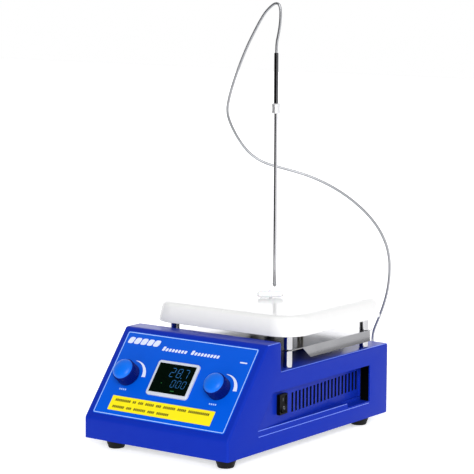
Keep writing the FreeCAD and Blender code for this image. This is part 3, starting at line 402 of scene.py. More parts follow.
def recess(side, grow=0.0):
    """A wedge that starts almost flush at the front and deepens to the rear, above a ledge."""
    bm = bmesh.new()
    bmesh.ops.create_cube(bm, size=2)
    for corner in bm.verts:
        inner, rear, top = corner.co.x < 0, corner.co.y > 0, corner.co.z > 0
        y = RECESS_REAR + grow if rear else RECESS_FRONT - grow + (RECESS_SLANT if top else 0)
        z = RECESS_HIGH + grow if top else (RECESS_LOW if grow else LEDGE_TOP) - grow
        if inner and top:
            z -= 1.2 * MM
        mouth = WALL / 2 if grow else -20 * MM
        depth = (y - RECESS_FRONT) * RECESS_SLOPE + grow + 0.9 * MM if inner else mouth
        corner.co = (house_x + side * (half_width - depth), front_y + y, under_z + z)
    bmesh.ops.triangulate(bm, faces=bm.faces[:])
    return bm


def ledge(side):
    """The shallow slope under the recess, and its low rear corner where the ledge stops."""
    outside = -10 * MM
    section = [(outside, RECESS_LOW), (0, RECESS_LOW), (LEDGE_DEPTH, LEDGE_TOP + 0.2 * MM),
               (outside, LEDGE_TOP + 0.2 * MM)]
    bm = bmesh.new()
    flat = bm.faces.new([bm.verts.new((house_x + side * (half_width - depth), front_y + RECESS_FRONT + 1.5 * MM,
                                       under_z + z)) for depth, z in section])
    pushed = bmesh.ops.extrude_face_region(bm, geom=[flat])
    bmesh.ops.translate(bm, vec=(0, LEDGE_END - RECESS_FRONT - 1.5 * MM, 0),
                        verts=[item for item in pushed["geom"] if isinstance(item, bmesh.types.BMVert)])
    corner = block((24 * MM, RECESS_REAR - LEDGE_END, 10 * MM), centre=(
        house_x + side * (half_width + 0.5 * MM), front_y + (RECESS_REAR + LEDGE_END) / 2,
        under_z + RECESS_LOW + 1.6 * MM + 5 * MM))
    return [bm, corner]


def inner_side(bm):
    """Mark the faces that end up inside the cover with the near-black painted shade."""
    for face in bm.faces:
        face.material_index = 1
    return bm


def vents(side):
    rows = []
    for index in range(VENTS):
        y = front_y + VENT_FIRST + index * VENT_PITCH
        middle = (house_x + side * (half_width - 12 * MM), y, under_z + VENT_LOW + VENT_LENGTH / 2)
        rows.append(block((40 * MM, VENT_WIDTH, VENT_LENGTH), centre=middle))
    return inner_side(together(*rows))


def grip_hole(side):
    """The open end of the recess, where the fingers hook in behind the sheet."""
    edge, depth = 1.4 * MM, 14.2 * MM
    across = depth - edge - WALL
    return inner_side(block((across, 4 * WALL, 42.7 * MM - 2 * edge), 0.5 * MM, 2, (
        house_x + side * (half_width - WALL - across / 2), front_y + RECESS_REAR + WALL,
        under_z + (RECESS_LOW + RECESS_HIGH) / 2)))


# %% The openings that other pieces pass through
def post_places():
    """The four corners where standoffs stand, from the lower posts' box."""
    low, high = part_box("lower_standoffs")
    radius = 4.9 * MM
    return [Vector((x, y, 0)) for x in (low.x + radius, high.x - radius) for y in (low.y + radius, high.y - radius)]


def upright_hole(x, y, radius):
    return place(turned([(0, 0), (radius, 0), (radius, 20 * MM), (0, 20 * MM)], 32),
                 Matrix.Translation((x, y, deck_z - 10 * MM)))


inlet_low, inlet_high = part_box("mains_inlet")
inlet_middle = (inlet_low + inlet_high) / 2
socket_low, socket_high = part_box("probe_socket")
socket_middle = (socket_low + socket_high) / 2
switch_low, switch_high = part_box("switch_body")
switch_middle = (switch_low + switch_high) / 2

outer = rounded_edges(side_prism(0, half_width), 2.6 * MM, 4,
                      lambda e: max(v.co.z for v in e.verts) > under_z + 1e-5)
# The narrow upward-facing strip of the rounding along the deck and ridge side edges takes the lighter blue: a painted
# highlight.
outer.normal_update()
for face in outer.faces:
    if 0.5 < abs(face.normal.x) < 0.6 and abs(face.normal.y) < 0.1:
        face.material_index = 2
hollow = inner_side(side_prism(WALL, half_width - WALL, drop=5 * MM))
lining = carved(outer, [hollow])
backed = carved(lining, [inner_side(recess(1, WALL)), inner_side(recess(-1, WALL))], "UNION")
inlet_hole = block((25 * MM, 14 * MM, 33 * MM), centre=(inlet_middle.x, rear_y, inlet_middle.z))
socket_hole = place(turned([(0, 0), (6.2 * MM, 0), (6.2 * MM, 14 * MM), (0, 14 * MM)], 32, (0, 1, 0)),
                    Matrix.Translation((socket_middle.x, rear_y - 7 * MM, socket_middle.z)))
switch_hole = block((44 * MM, 13.4 * MM, 19.6 * MM), centre=(house_x + half_width - 2 * MM, switch_middle.y,
                                                            switch_middle.z))
shaft_hole = upright_hole(centre.x, centre.y, 9 * MM)
grommet_low, grommet_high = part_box("lead_grommet")
lead_hole = upright_hole(*((grommet_low + grommet_high) / 2).xy, 4.2 * MM)
cover = carved(backed, [recess(1), recess(-1), *ledge(1), *ledge(-1), vents(1), vents(-1), inlet_hole, socket_hole, switch_hole,
                        shaft_hole, lead_hole, grip_hole(1), grip_hole(-1)])
housing = piece("housing_cover", cover, powder_coat, "housing", ["upper_housing"], 28)
# Slot 1 is the near-black painted shade inside, slot 2 the lighter painted edge highlight.
housing.data.materials.append(inside_shade_paint)
housing.data.materials.append(edge_highlight_paint)
# The narrow bevel on the cut edges takes the lighter blue: a painted highlight line.
rim = housing.modifiers.new("rim", "BEVEL")
rim.material = 2
rim.width = 0.45 * MM
rim.segments = 2
rim.limit_method = "ANGLE"
rim.angle_limit = math.radians(40)
rim.use_clamp_overlap = True
rim.harden_normals = True


def lip_line(side, depth, end, height):
    """A narrow rolled line along an edge of the ledge, in the lighter blue of a painted highlight."""
    start = 53 * MM
    return block((0.5 * MM, end - start, 0.8 * MM), 0.15 * MM, 2, (
        house_x + side * (half_width - depth), front_y + (start + end) / 2, under_z + height))


# Both ledge lines are painted highlights in the lighter edge blue.
lines = together(*[lip_line(side, *rest) for side in (-1, 1) for rest in (
    (0, 262 * MM, RECESS_LOW - 0.3 * MM), (LEDGE_DEPTH, LEDGE_END - 1 * MM, LEDGE_TOP))])
piece("recess_painted_highlight_lines", lines, edge_highlight_paint, "housing")
print("housing cover", len(housing.data.polygons), "faces")

# %% [markdown]
# ## Control panel
#
# The panel is a thin printed film.  Its border line, dial scales and little pictograms are screen-printed, so
# they are made as films a few hundredths of a millimetre thick that lie on it: a real edge, and no picture file.

# %% Film, border line and label
PANEL_WIDTH, PANEL_LENGTH, PANEL_MIDDLE = 172.4 * MM, 99.6 * MM, 55.8 * MM
INK = 0.06 * MM
BORDER_INSET, BORDER_LINE = 0.9 * MM, 0.8 * MM

film = on_panel(slab(PANEL_WIDTH, PANEL_LENGTH, FILM, 2.5 * MM, 0.1 * MM), 0, PANEL_MIDDLE, 0)
piece("printed_panel", film, printed_film, "housing", ["front_overlay"])


def frame_line(width, length, corner, line, height, edge=0.0):
    """A closed strip of even width: the inner part of a rounded slab is taken out."""
    outer_part = slab(width, length, height, corner, edge)
    inner_part = slab(width - 2 * line, length - 2 * line, 4 * height, max(corner - line, 0.3 * MM))
    return carved(outer_part, [place(inner_part, Matrix.Translation((0, 0, -height)))])


border = frame_line(PANEL_WIDTH - 2 * BORDER_INSET, PANEL_LENGTH - 2 * BORDER_INSET, 1.8 * MM, BORDER_LINE, INK)
piece("border_line", on_panel(border, 0, PANEL_MIDDLE), line_ink, "housing")

LABEL_X, LABEL_Y, LABEL_WIDTH, LABEL_LENGTH = -1.6 * MM, 20.6 * MM, 134 * MM, 16.8 * MM
LABEL_FILM = 0.25 * MM
label = on_panel(slab(LABEL_WIDTH, LABEL_LENGTH, LABEL_FILM, 0.4 * MM), LABEL_X, LABEL_Y)
piece("caution_strip", label, yellow_vinyl, "housing", ["caution_label"])

# %% [markdown]
# ### Print without words
#
# The label and the title row carry no lettering.  Rows of short strokes of different lengths stand where print
# would be, which keeps the panel's balance of light and dark without saying anything.

# %% Strokes in place of print
def strokes(start_x, y, lengths, height, gap, lift, slant=0.0):
    """A row of slim bars, each with rounded ends, running to the right from start_x."""
    bars = []
    x = start_x
    for length in lengths:
        bar = slab(length, height, INK, min(height, length) * 0.3, segments=3)
        if slant:
            place(bar, Matrix(((1, slant, 0, 0), (0, 1, 0, 0), (0, 0, 1, 0), (0, 0, 0, 1))))
        bars.append(on_panel(bar, x + length / 2, y, lift))
        x += length + gap
    return together(*bars)


def word(count, letter=1.25 * MM):
    return [letter] * count


def printed_line(start_x, y, words, height, letter, gap, space, lift, slant=0.12):
    """Words of equal strokes: a generic rhythm of print."""
    rows = []
    x = start_x
    for count in words:
        rows.append(strokes(x, y, word(count, letter), height, gap, lift, slant))
        x += count * (letter + gap) + space
    return together(*rows)


LABEL_LIFT = FILM + LABEL_FILM
caution = together(
    printed_line(-63 * MM, 24.4 * MM, (9, 2, 3, 5, 3, 7, 5, 12), 3.0 * MM, 1.5 * MM, 0.75 * MM, 2.8 * MM, LABEL_LIFT),
    printed_line(-63.5 * MM, 16.6 * MM, (7, 3, 7, 4, 7), 3.0 * MM, 1.5 * MM, 0.75 * MM, 2.9 * MM, LABEL_LIFT))
piece("caution_strokes", caution, dark_ink, "housing")
title = together(
    strokes(-80.5 * MM, 95.2 * MM, (7 * MM, 7.6 * MM, 7.6 * MM, 7 * MM, 7.6 * MM), 7.6 * MM, 1.2 * MM, FILM, 0.3),
    strokes(-32.5 * MM, 90.6 * MM, (3.4 * MM,), 5.2 * MM, 1.1 * MM, FILM, 0.25),
    printed_line(-28.0 * MM, 89.8 * MM, (7,), 3.6 * MM, 2.9 * MM, 1.2 * MM, 4.0 * MM, FILM, 0.25),
    strokes(5.6 * MM, 90.6 * MM, (3.4 * MM,), 5.2 * MM, 1.1 * MM, FILM, 0.25),
    printed_line(10.1 * MM, 89.8 * MM, (8,), 3.6 * MM, 2.9 * MM, 1.2 * MM, 4.0 * MM, FILM, 0.25),
    strokes(69.5 * MM, 87.4 * MM, (9 * MM,), 1.5 * MM, 1.0 * MM, FILM))
piece("title_strokes", title, white_ink, "housing")

# %% Dial scales and captions
SCALE_OUTER, SCALE_INNER = (18.2 * MM, 20.3 * MM), (17.8 * MM, 15.5 * MM)
SCALE_START, SCALE_SWEEP, SCALE_STEPS = math.radians(1), math.radians(87), 28


def crescent(x, y):
    """A scale that widens clockwise, both outwards and inwards, to a square end."""
    bm = bmesh.new()
    rows = []
    for step in range(SCALE_STEPS + 1):
        share = step / SCALE_STEPS
        bearing = SCALE_START + SCALE_SWEEP * share
        ray = Vector((math.sin(bearing), math.cos(bearing), 0))
        radii = [start + (end - start) * share for start, end in (SCALE_INNER, SCALE_OUTER)]
        rows.append([bm.verts.new(ray * radius) for radius in radii])
    for (a, b), (c, d) in zip(rows, rows[1:]):
        bm.faces.new((a, b, d, c))
    raised = bmesh.ops.extrude_face_region(bm, geom=bm.faces[:])
    bmesh.ops.translate(bm, vec=(0, 0, INK), verts=[v for v in raised["geom"] if isinstance(v, bmesh.types.BMVert)])
    return on_panel(bm, x, y)


scales = together(crescent(-DIAL_X, DIAL_Y), crescent(DIAL_X, DIAL_Y))
piece("dial_scales", scales, white_ink, "housing")
captions = together(
    strokes(-DIAL_X - 5.5 * MM, 37.4 * MM, word(4, 1.5 * MM), 1.9 * MM, 1.0 * MM, FILM),
    strokes(DIAL_X - 6.0 * MM, 36.6 * MM, word(4, 1.5 * MM), 1.9 * MM, 1.0 * MM, FILM))
piece("dial_captions", captions, line_ink, "housing")

# %% [markdown]
# ## Display
#
# A white moulded bezel holds a tinted lens.  Two rows of seven-segment figures glow dimly behind it.  One slanted
# six-sided bar is made for a segment and repeated where each figure needs it.

# %% Bezel and lens
BEZEL_X, BEZEL_Y, BEZEL_WIDTH, BEZEL_LENGTH, BEZEL_HEIGHT = -1.8 * MM, 56.2 * MM, 54.0 * MM, 41.0 * MM, 2.6 * MM
WINDOW_X, WINDOW_Y, WINDOW_WIDTH, WINDOW_LENGTH = -1.7 * MM, 56.3 * MM, 48.2 * MM, 34.4 * MM
PANE = 2.3 * MM

bezel = slab(BEZEL_WIDTH, BEZEL_LENGTH, BEZEL_HEIGHT, 3.6 * MM, 1.1 * MM)
sight = place(slab(WINDOW_WIDTH, WINDOW_LENGTH, 12 * MM, 0.6 * MM),
              Matrix.Translation((WINDOW_X - BEZEL_X, WINDOW_Y - BEZEL_Y, -6 * MM)))
piece("display_frame", on_panel(carved(bezel, [sight]), BEZEL_X, BEZEL_Y), white_abs, "housing",
      ["display_bezel"])
pane = slab(WINDOW_WIDTH - 0.1 * MM, WINDOW_LENGTH - 0.1 * MM, PANE, 0.5 * MM)
piece("display_lens", on_panel(pane, WINDOW_X, WINDOW_Y), dark_lens, "housing", ["display_window"])

# %% Figures
LENS_TOP = FILM + PANE
SEGMENT = {"a": (0, 1, 0), "b": (0.5, 0.5, 90), "c": (0.5, -0.5, 90), "d": (0, -1, 0),
           "e": (-0.5, -0.5, 90), "f": (-0.5, 0.5, 90), "g": (0, 0, 0)}
FIGURES = {"0": "abcdef", "2": "abged", "7": "abc", "8": "abcdefg"}


def figure(character, x, y, height):
    """One seven-segment figure, leaning to the right."""
    half = height / 2
    bars = []
    for name in FIGURES[character]:
        across, up, angle = SEGMENT[name]
        bar = slab(half * 0.8, half * 0.12, 0.05 * MM, half * 0.05, segments=2)
        place(bar, Matrix.Translation((across * half, up * half * 0.98, 0)) @
              Matrix.Rotation(math.radians(angle), 4, "Z"))
        bars.append(bar)
    lean = Matrix(((1, 0.12, 0, 0), (0, 1, 0, 0), (0, 0, 1, 0), (0, 0, 0, 1)))
    return on_panel(place(together(*bars), lean), x, y, LENS_TOP)


upper = [figure(character, WINDOW_X + x * MM, WINDOW_Y + 7.6 * MM, 10.2 * MM)
         for character, x in zip("287", (-3.2, 5.6, 14.2))]
lower = [figure(character, WINDOW_X + x * MM, WINDOW_Y - 5.0 * MM, 8.4 * MM)
         for character, x in zip("000", (2.8, 9.8, 16.6))]
point = on_panel(slab(1.0 * MM, 1.0 * MM, 0.08 * MM, 0.3 * MM), WINDOW_X + 9.6 * MM, WINDOW_Y + 2.4 * MM, LENS_TOP)
piece("display_figures", together(*upper, *lower, point), segment_blue, "housing")
pilots = together(
    on_panel(slab(5.0 * MM, 0.9 * MM, 0.05 * MM, 0.3 * MM), WINDOW_X + 5.5 * MM, WINDOW_Y - 13.6 * MM, LENS_TOP),
    on_panel(slab(1.1 * MM, 1.1 * MM, 0.05 * MM, 0.4 * MM), WINDOW_X - 12 * MM, WINDOW_Y - 6.0 * MM, LENS_TOP))
piece("display_pilots", pilots, pilot_green, "housing")

# %% [markdown]
# ## Dials
#
# Each dial is turned in one piece with a fluted skirt and a domed cap.  The skirt is a band of many faces; each
# is inset and pushed in, which leaves a fine ridge between neighbours for the fingers.

# %% Dials
FLUTES = 38
KNOB_LIFT, SKIRT, SHOULDER, KNOB_HEIGHT = 0.9 * MM, 12.2 * MM, 12.5 * MM, 18.6 * MM


def dial_body():
    profile = [(8.4 * MM, 0), (SKIRT - 0.5 * MM, 0), (SKIRT, 0.5 * MM), (SKIRT - 0.35 * MM, SHOULDER),
               (SKIRT - 0.8 * MM, SHOULDER + 0.9 * MM), (9.6 * MM, SHOULDER + 1.1 * MM), (0, SHOULDER + 1.1 * MM)]
    bm = turned(profile, FLUTES)
    band = [face for face in bm.faces
            if 0.5 * MM < face.calc_center_median().z < SHOULDER and abs(face.normal.z) < 0.2]
    bmesh.ops.inset_individual(bm, faces=band, thickness=0.42 * MM, depth=-0.8 * MM)
    return bm


def dial_cap():
    """A shallow dome with a rounded rim that stands on the skirt's shoulder."""
    base = SHOULDER + 1.0 * MM
    rim_radius, rise = 11.5 * MM, KNOB_HEIGHT - base
    dome = [(rim_radius * math.cos(a), base + rise * math.sin(a))
            for a in (math.radians(10 * step) for step in range(1, 10))]
    return turned([(rim_radius, base), *dome[:-1], (0, KNOB_HEIGHT)], 64)


# The skirt takes the darker blue of painted shade and the cap the lighter blue of painted light.
for name, x in (("heat", -DIAL_X), ("stir", DIAL_X)):
    lift = FILM + KNOB_LIFT
    grip = piece(f"{name}_dial_skirt", on_panel(dial_body(), x, DIAL_Y, lift), skirt_blue_painted_shade, f"{name}_dial",
                 [f"{name}_knob"])
    cap = piece(f"{name}_dial_cap", on_panel(dial_cap(), x, DIAL_Y, lift), cap_blue_painted_light, f"{name}_dial")

# %% [markdown]
# ## Heating plate
#
# A shallow square casting with drafted sides and a thick fired coating.  It starts as a cube: its four upright
# edges take the large corner radius, its top is drawn in for the draft, and the top edge is rounded last.

# %% Heating plate
PLATE_CORNER, PLATE_DRAFT, PLATE_EDGE = 29.5 * MM, math.radians(10), 5.4 * MM


def drafted_plate():
    size = plate_high - plate_low
    bm = bmesh.new()
    bmesh.ops.create_cube(bm, size=1, matrix=Matrix.Translation(centre) @ Matrix.Diagonal((*size, 1)))
    middle = centre.z
    rounded_edges(bm, PLATE_CORNER, 14, lambda e: abs(e.verts[0].co.z - e.verts[1].co.z) > size.z / 2)
    top = [v for v in bm.verts if v.co.z > middle]
    share = 1 - 2 * size.z * math.tan(PLATE_DRAFT) / size.x
    bmesh.ops.scale(bm, vec=(share, share, 1), verts=top, space=Matrix.Translation(-centre))
    rounded_edges(bm, PLATE_EDGE, 7, lambda e: all(v.co.z > middle for v in e.verts))
    rounded_edges(bm, 0.9 * MM, 2, lambda e: all(v.co.z < plate_low.z + 1e-6 for v in e.verts))
    return bm


well = place(turned([(0, -5 * MM), (83 * MM, -5 * MM), (83 * MM, 13.6 * MM), (0, 13.6 * MM)], 96),
             Matrix.Translation((centre.x, centre.y, plate_low.z)))
piece("ceramic_plate", carved(drafted_plate(), [well]), ceramic, "housing", ["heating_plate"], 24)

# %% [markdown]
# ## Posts, tray and feet
#
# The standoffs are turned from bright bar with a small chamfer at each end.  The feet are moulded rubber with a
# soft lower edge and a deep hole for the screw.

# %% Posts
def post(node, radius):
    low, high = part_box(node)
    height = high.z - low.z
    chamfer = 0.5 * MM
    outline = [(2.6 * MM, 0), (radius - chamfer, 0), (radius, chamfer), (radius, height - chamfer),
               (radius - chamfer, height), (2.6 * MM, height)]
    return [place(turned(outline, 48), Matrix.Translation((spot.x, spot.y, low.z))) for spot in post_places()]


piece("upper_posts", together(*post("upper_standoffs", 5.1 * MM)), chrome, "housing",
      ["upper_standoffs"])
piece("lower_posts", together(*post("lower_standoffs", 4.9 * MM)), chrome, "housing",
      ["lower_standoffs"])

# %% Feet
FOOT_TOP, FOOT_BASE, FOOT_HOLE = 11.0 * MM, 8.6 * MM, 3.6 * MM
foot_low, foot_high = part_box("rubber_feet")
foot_height = foot_high.z - foot_low.z
foot_outline = [(FOOT_HOLE, 0), (FOOT_BASE - 1.2 * MM, 0), (FOOT_BASE - 0.3 * MM, 0.4 * MM),
                (FOOT_BASE + 0.1 * MM, 1.3 * MM), (FOOT_TOP - 0.3 * MM, foot_height - 1.2 * MM),
                (FOOT_TOP, foot_height - 0.4 * MM), (FOOT_TOP - 0.3 * MM, foot_height), (0, foot_height),
                (0, foot_height / 2), (FOOT_HOLE, foot_height / 2), (FOOT_HOLE, 0)]
feet = [place(turned(foot_outline, 40), Matrix.Translation((x, y, 0)))
        for x in (foot_low.x + FOOT_TOP, foot_high.x - FOOT_TOP)
        for y in (foot_low.y + FOOT_TOP, foot_high.y - FOOT_TOP)]
piece("moulded_feet", together(*feet), rubber, "housing", ["rubber_feet"])

# %% [markdown]
# ## Stirring bar
#
# The bar is a magnet sealed in white plastic, rounded at both ends, with a narrow ring round its middle that it
# spins on.  It is turned about its own long axis and laid down where the design has it.

# %% Stirring bar
BAR_LENGTH, BAR_RADIUS, BAR_RING, BAR_TURN = 29.0 * MM, 3.6 * MM, 4.2 * MM, math.radians(42)
half_bar = BAR_LENGTH / 2 - BAR_RADIUS
arc = [(BAR_RADIUS * math.sin(a), half_bar + BAR_RADIUS * math.cos(a))
       for a in (math.radians(15 * step) for step in range(7))]
ring_edge = 1.5 * MM
half_outline = [*arc, (BAR_RADIUS, ring_edge + 0.6 * MM), (BAR_RING - 0.15 * MM, ring_edge),
                (BAR_RING, ring_edge - 0.4 * MM)]
bar_outline = half_outline + [(radius, -height) for radius, height in reversed(half_outline)]
bar_low, bar_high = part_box("stir_bar_jacket")
bar_middle = (bar_low + bar_high) / 2
bar = turned(bar_outline, 40, (math.cos(BAR_TURN), math.sin(BAR_TURN), 0))
piece("stirring_bar", place(bar, Matrix.Translation(bar_middle)), ptfe, "stir_bar",
      ["stir_bar_jacket"])

# %% [markdown]
# ## Temperature probe and its lead
#
# The probe is a drawn stainless tube with a thicker handle tube above a turned collar.  The lead is wound steel
# armour, stiff enough to hold the probe up.  Its route is the design's own list of points, used as the control
# points of one smooth curve.

# %% Probe tubes
def node_centre(node):
    low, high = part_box(node)
    return (low + high) / 2, low, high


def tube(node, radius, ends=0.4 * MM, bore=0.0):
    """A turned tube with softened ends that fills a node's height."""
    middle, low, high = node_centre(node)
    height = high.z - low.z
    outline = [(bore, 0), (radius - ends, 0), (radius, ends), (radius, height - ends), (radius - ends, height),
               (bore, height)]
    return place(turned(outline, 32), Matrix.Translation((middle.x, middle.y, low.z)))


# The handle's darker steel is a painted darker reflection.
piece("probe_handle_tube", tube("probe_handle", 2.4 * MM), handle_steel_painted_dark, "housing", ["probe_handle"])
collar_middle, collar_low, collar_high = node_centre("probe_collar")
collar_height = collar_high.z - collar_low.z
collar_outline = [(2.05 * MM, 0), (4.2 * MM, 0), (5.0 * MM, 0.8 * MM), (5.0 * MM, 3.0 * MM), (4.6 * MM, 3.3 * MM),
                  (4.6 * MM, collar_height - 3.3 * MM), (5.0 * MM, collar_height - 3.0 * MM),
                  (5.0 * MM, collar_height - 0.8 * MM), (4.2 * MM, collar_height), (2.05 * MM, collar_height)]
collar = place(turned(collar_outline, 40), Matrix.Translation((collar_middle.x, collar_middle.y, collar_low.z)))
# The collar's near-white steel is painted light.
piece("probe_collar_turned", collar, collar_steel_painted_light, "housing", ["probe_collar"])

# %% Lead
LEAD_DIAMETER = 3.0 * MM
LEAD_ROUTE = [
    (0.0363, 0.1760, 0.0585), (0.0363, 0.1880, 0.0585), (0.0350, 0.1985, 0.0680), (0.0330, 0.2000, 0.0840),
    (0.0440, 0.1985, 0.1060), (0.0545, 0.1965, 0.1325), (0.0604, 0.1925, 0.1608), (0.0615, 0.1865, 0.1840),
    (0.0570, 0.1785, 0.2045), (0.0485, 0.1685, 0.2225), (0.0380, 0.1575, 0.2372), (0.0255, 0.1455, 0.2505),
    (0.0105, 0.1325, 0.2620), (-0.0065, 0.1195, 0.2710), (-0.0255, 0.1075, 0.2772), (-0.0460, 0.0955, 0.2830),
    (-0.0600, 0.0865, 0.2930), (-0.0697, 0.0795, 0.3075), (-0.0775, 0.0735, 0.3255), (-0.0810, 0.0705, 0.3400),
    (-0.0775, 0.0683, 0.3535), (-0.0690, 0.0648, 0.3720), (-0.0580, 0.0618, 0.3930), (-0.0463, 0.0595, 0.4140),
    (-0.0330, 0.0578, 0.4345), (-0.0213, 0.0570, 0.4513), (-0.0120, 0.0567, 0.4596), (-0.0052, 0.0566, 0.4632),
    (-0.0004, 0.0566, 0.4610), (0.0009, 0.0566, 0.4530), (0.0003, 0.0566, 0.4410), (-0.0018, 0.0566, 0.4295),
    (-0.0045, 0.0566, 0.4190), (-0.0045, 0.0566, 0.4092),
]
armour = finish("wound_steel_armour", "#B4B5B8", 0.34, 1.0, "#A4A5A8", 0.7, 0.05, 0.1)
path = bpy.data.curves.new("probe_lead_line", "CURVE")
path.dimensions = "3D"
spline = path.splines.new("NURBS")
spline.points.add(len(LEAD_ROUTE) - 1)
for spot, where in zip(spline.points, LEAD_ROUTE):
    spot.co = (*where, 1)
spline.order_u = 3
spline.use_endpoint_u = True
path.resolution_u = 12
path.bevel_depth = LEAD_DIAMETER / 2
path.bevel_resolution = 4
path.use_fill_caps = True
path.materials.append(armour)
lead = bpy.data.objects.new("armoured_lead", path)
bpy.context.scene.collection.objects.link(lead)
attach(lead, "housing")
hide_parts("probe_lead")

# %% [markdown]
# ## The design's own nodes
#
# Pieces whose designed shape is already right only need their finish.  Their meshes are loose triangles, so a
# weld joins the points and an edge split keeps flat faces flat while round ones shade smoothly.

# %% Dress the remaining nodes
DRESS = {
    zinc: ["base_plate", "feet_screws", "base_screws", "standoff_nuts", "standoff_studs", "potentiometer_nuts",
           "motor_bracket", "motor_screws", "probe_socket_nut", "heater_clamp_plate"],
    mirror_steel: ["reflector_tray"],
    black_abs: ["switch_body", "switch_rocker", "mains_inlet", "fuse_drawer", "display_module",
                "heat_potentiometer", "stir_potentiometer", "power_capacitors", "heater_triac"],
    laminate: ["control_board", "power_board"],
    ground_steel: ["rotor_shaft", "motor_bearings", "heat_shaft", "stir_shaft", "plate_sensor"],
    cast_aluminium: ["motor_housing", "magnet_holder", "heat_sink"],
    stainless: ["probe_sheath", "probe_socket", "probe_plug", "plug_ring"],
    rubber: ["lead_grommet", "probe_strain_relief"],
    silicone: ["heater_leads"],
    mica: ["heating_element"],
    wool: ["insulation_pad"],
    windings: ["rotor_core", "power_transformer"],
    nickel: ["drive_magnets", "stir_bar_magnet"],
    brass: ["inlet_pins"],
    fuse_glass: ["fuse_cartridge"],
}
for material, names in DRESS.items():
    for name in names:
        node = nodes[name]
        node.data.materials.clear()
        node.data.materials.append(material)
        node.data.shade_smooth()
        joined = node.modifiers.new("weld", "WELD")
        joined.merge_threshold = 1e-6
        split = node.modifiers.new("split", "EDGE_SPLIT")
        split.split_angle = math.radians(28)

# %% [markdown]
# ### Marks on the rocker
#
# The rocker carries the two usual signs, a stroke for on and a ring for off, filled with white paint.

# %% Rocker marks
rocker = joints["power_rocker"]
tilt_axis = Vector(rocker["axis"])
switch_out = tilt_axis.cross(Vector((0, 0, 1)))
ROCKER_TILT = math.radians(8)
SWITCH = Matrix.Translation(rocker["pos_m"]) @ Matrix((switch_out, tilt_axis, Vector((0, 0, 1)))).transposed().to_4x4()
TIPPED = SWITCH @ Matrix.Rotation(-ROCKER_TILT, 4, "Y")
face_angle = math.atan2(1.2, 8.2)
on_face = {
    "stroke": (Matrix.Translation((3.33 * MM, 0, 4.3 * MM)) @ Matrix.Rotation(face_angle, 4, "Y"),
               block((0.12 * MM, 0.7 * MM, 3.4 * MM), 0.03 * MM, 1)),
    "ring": (Matrix.Translation((3.33 * MM, 0, -4.3 * MM)) @ Matrix.Rotation(-face_angle, 4, "Y"),
             turned([(1.15 * MM, -0.06 * MM), (1.75 * MM, -0.06 * MM), (1.75 * MM, 0.06 * MM),
                     (1.15 * MM, 0.06 * MM), (1.15 * MM, -0.06 * MM)], 32, (1, 0, 0))),
}
marks = together(*[place(shape, TIPPED @ where) for where, shape in on_face.values()])
piece("rocker_marks", marks, grey_ink, "rocker")

# %% [markdown]
# ## Floor and light
#
# A pale seamless floor and large soft lights, as in a product studio.  Polished metal only looks polished when it
# has something dark to show, so the surroundings go from white overhead to grey low down and behind.

# %% Floor
floor_bm = bmesh.new()
bmesh.ops.create_grid(floor_bm, x_segments=1, y_segments=1, size=6)
floor_mesh = bpy.data.meshes.new("floor")
floor_bm.to_mesh(floor_mesh)
floor_bm.free()
floor = bpy.data.objects.new("floor", floor_mesh)
bpy.context.scene.collection.objects.link(floor)
lit_floor = finish("pale_studio_floor", "#F7F7F7", 0.6, shade="#F5F5F5", grain_mm=40,
                   Emission_Color=(1, 1, 1, 1), Emission_Strength=0.45, Specular_IOR_Level=0.1)
floor_mesh.materials.append(lit_floor)


# %% Lights
def sun(name, towards, strength, softness):
    """A far light that falls evenly over the floor; towards is the direction that it shines from."""
    data = bpy.data.lights.new(name, "SUN")
    data.energy = strength
    data.angle = math.radians(softness)
    light = bpy.data.objects.new(name, data)
    light.matrix_world = Vector(towards).to_track_quat("Z", "Y").to_matrix().to_4x4()
    bpy.context.scene.collection.objects.link(light)


sun("key", (0.52, -0.74, 0.40), 2.75, 30)


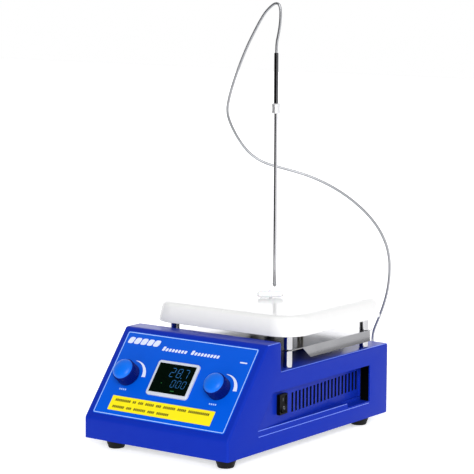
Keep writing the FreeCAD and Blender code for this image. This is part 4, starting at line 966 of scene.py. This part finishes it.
def dark_card(start, end, radius=0.75, height=1.2):
    """A curved black card that only polished surfaces see, standing from one bearing to another."""
    bm = bmesh.new()
    foot = bm.verts.new(Matrix.Rotation(math.radians(start), 4, "Z") @ Vector((0, -radius, 0.002)))
    top = bm.verts.new(foot.co + Vector((0, 0, height)))
    edge = bm.edges.new((foot, top))
    bmesh.ops.spin(bm, geom=[foot, top, edge], cent=(0, 0, 0), axis=(0, 0, 1), angle=math.radians(end - start),
                   steps=24)
    mesh = bpy.data.meshes.new("dark_card")
    bm.to_mesh(mesh)
    bm.free()
    mesh.materials.append(finish("black_felt_card", "#050505", 0.9, shade="#080808", grain_mm=2.0))
    card = bpy.data.objects.new("dark_card", mesh)
    bpy.context.scene.collection.objects.link(card)
    card.visible_camera = card.visible_diffuse = card.visible_shadow = False


dark_card(-60, 50)

world = bpy.data.worlds.new("studio")
bpy.context.scene.world = world
world.use_nodes = True
sky = world.node_tree
sky.nodes.clear()
facing = add(sky, "ShaderNodeTexCoord")


def towards(direction, start, end, low, high):
    """A value that goes from low to high as the view turns towards a direction."""
    along = add(sky, "ShaderNodeVectorMath", {"operation": "DOT_PRODUCT"}, {0: facing.outputs["Generated"]})
    along.inputs[1].default_value = Vector(direction).normalized()
    share = add(sky, "ShaderNodeMapRange", {"From Min": start, "From Max": end, "To Min": low, "To Max": high},
                {"Value": along.outputs["Value"]})
    return share.outputs["Result"]


shaded = towards((-0.16, -0.99, 0.0), 0.35, 0.65, 0.6, 0.03)
back_glow = towards((-0.5, 0.86, 0.1), 0.6, 0.95, 0.0, 1.4)
both = add(sky, "ShaderNodeMath", {"operation": "ADD"}, {0: shaded, 1: back_glow})
surround = add(sky, "ShaderNodeBackground", {"Color": linear("#FAFAFC")}, {"Strength": both.outputs["Value"]})
white = add(sky, "ShaderNodeBackground", {"Color": (1, 1, 1, 1), "Strength": 1.0})
seen = add(sky, "ShaderNodeLightPath")
choice = add(sky, "ShaderNodeMixShader", links={0: seen.outputs["Is Camera Ray"], 1: surround.outputs[0],
                                                2: white.outputs[0]})
add(sky, "ShaderNodeOutputWorld", links={"Surface": choice.outputs[0]})
bpy.context.scene.view_settings.view_transform = "Standard"
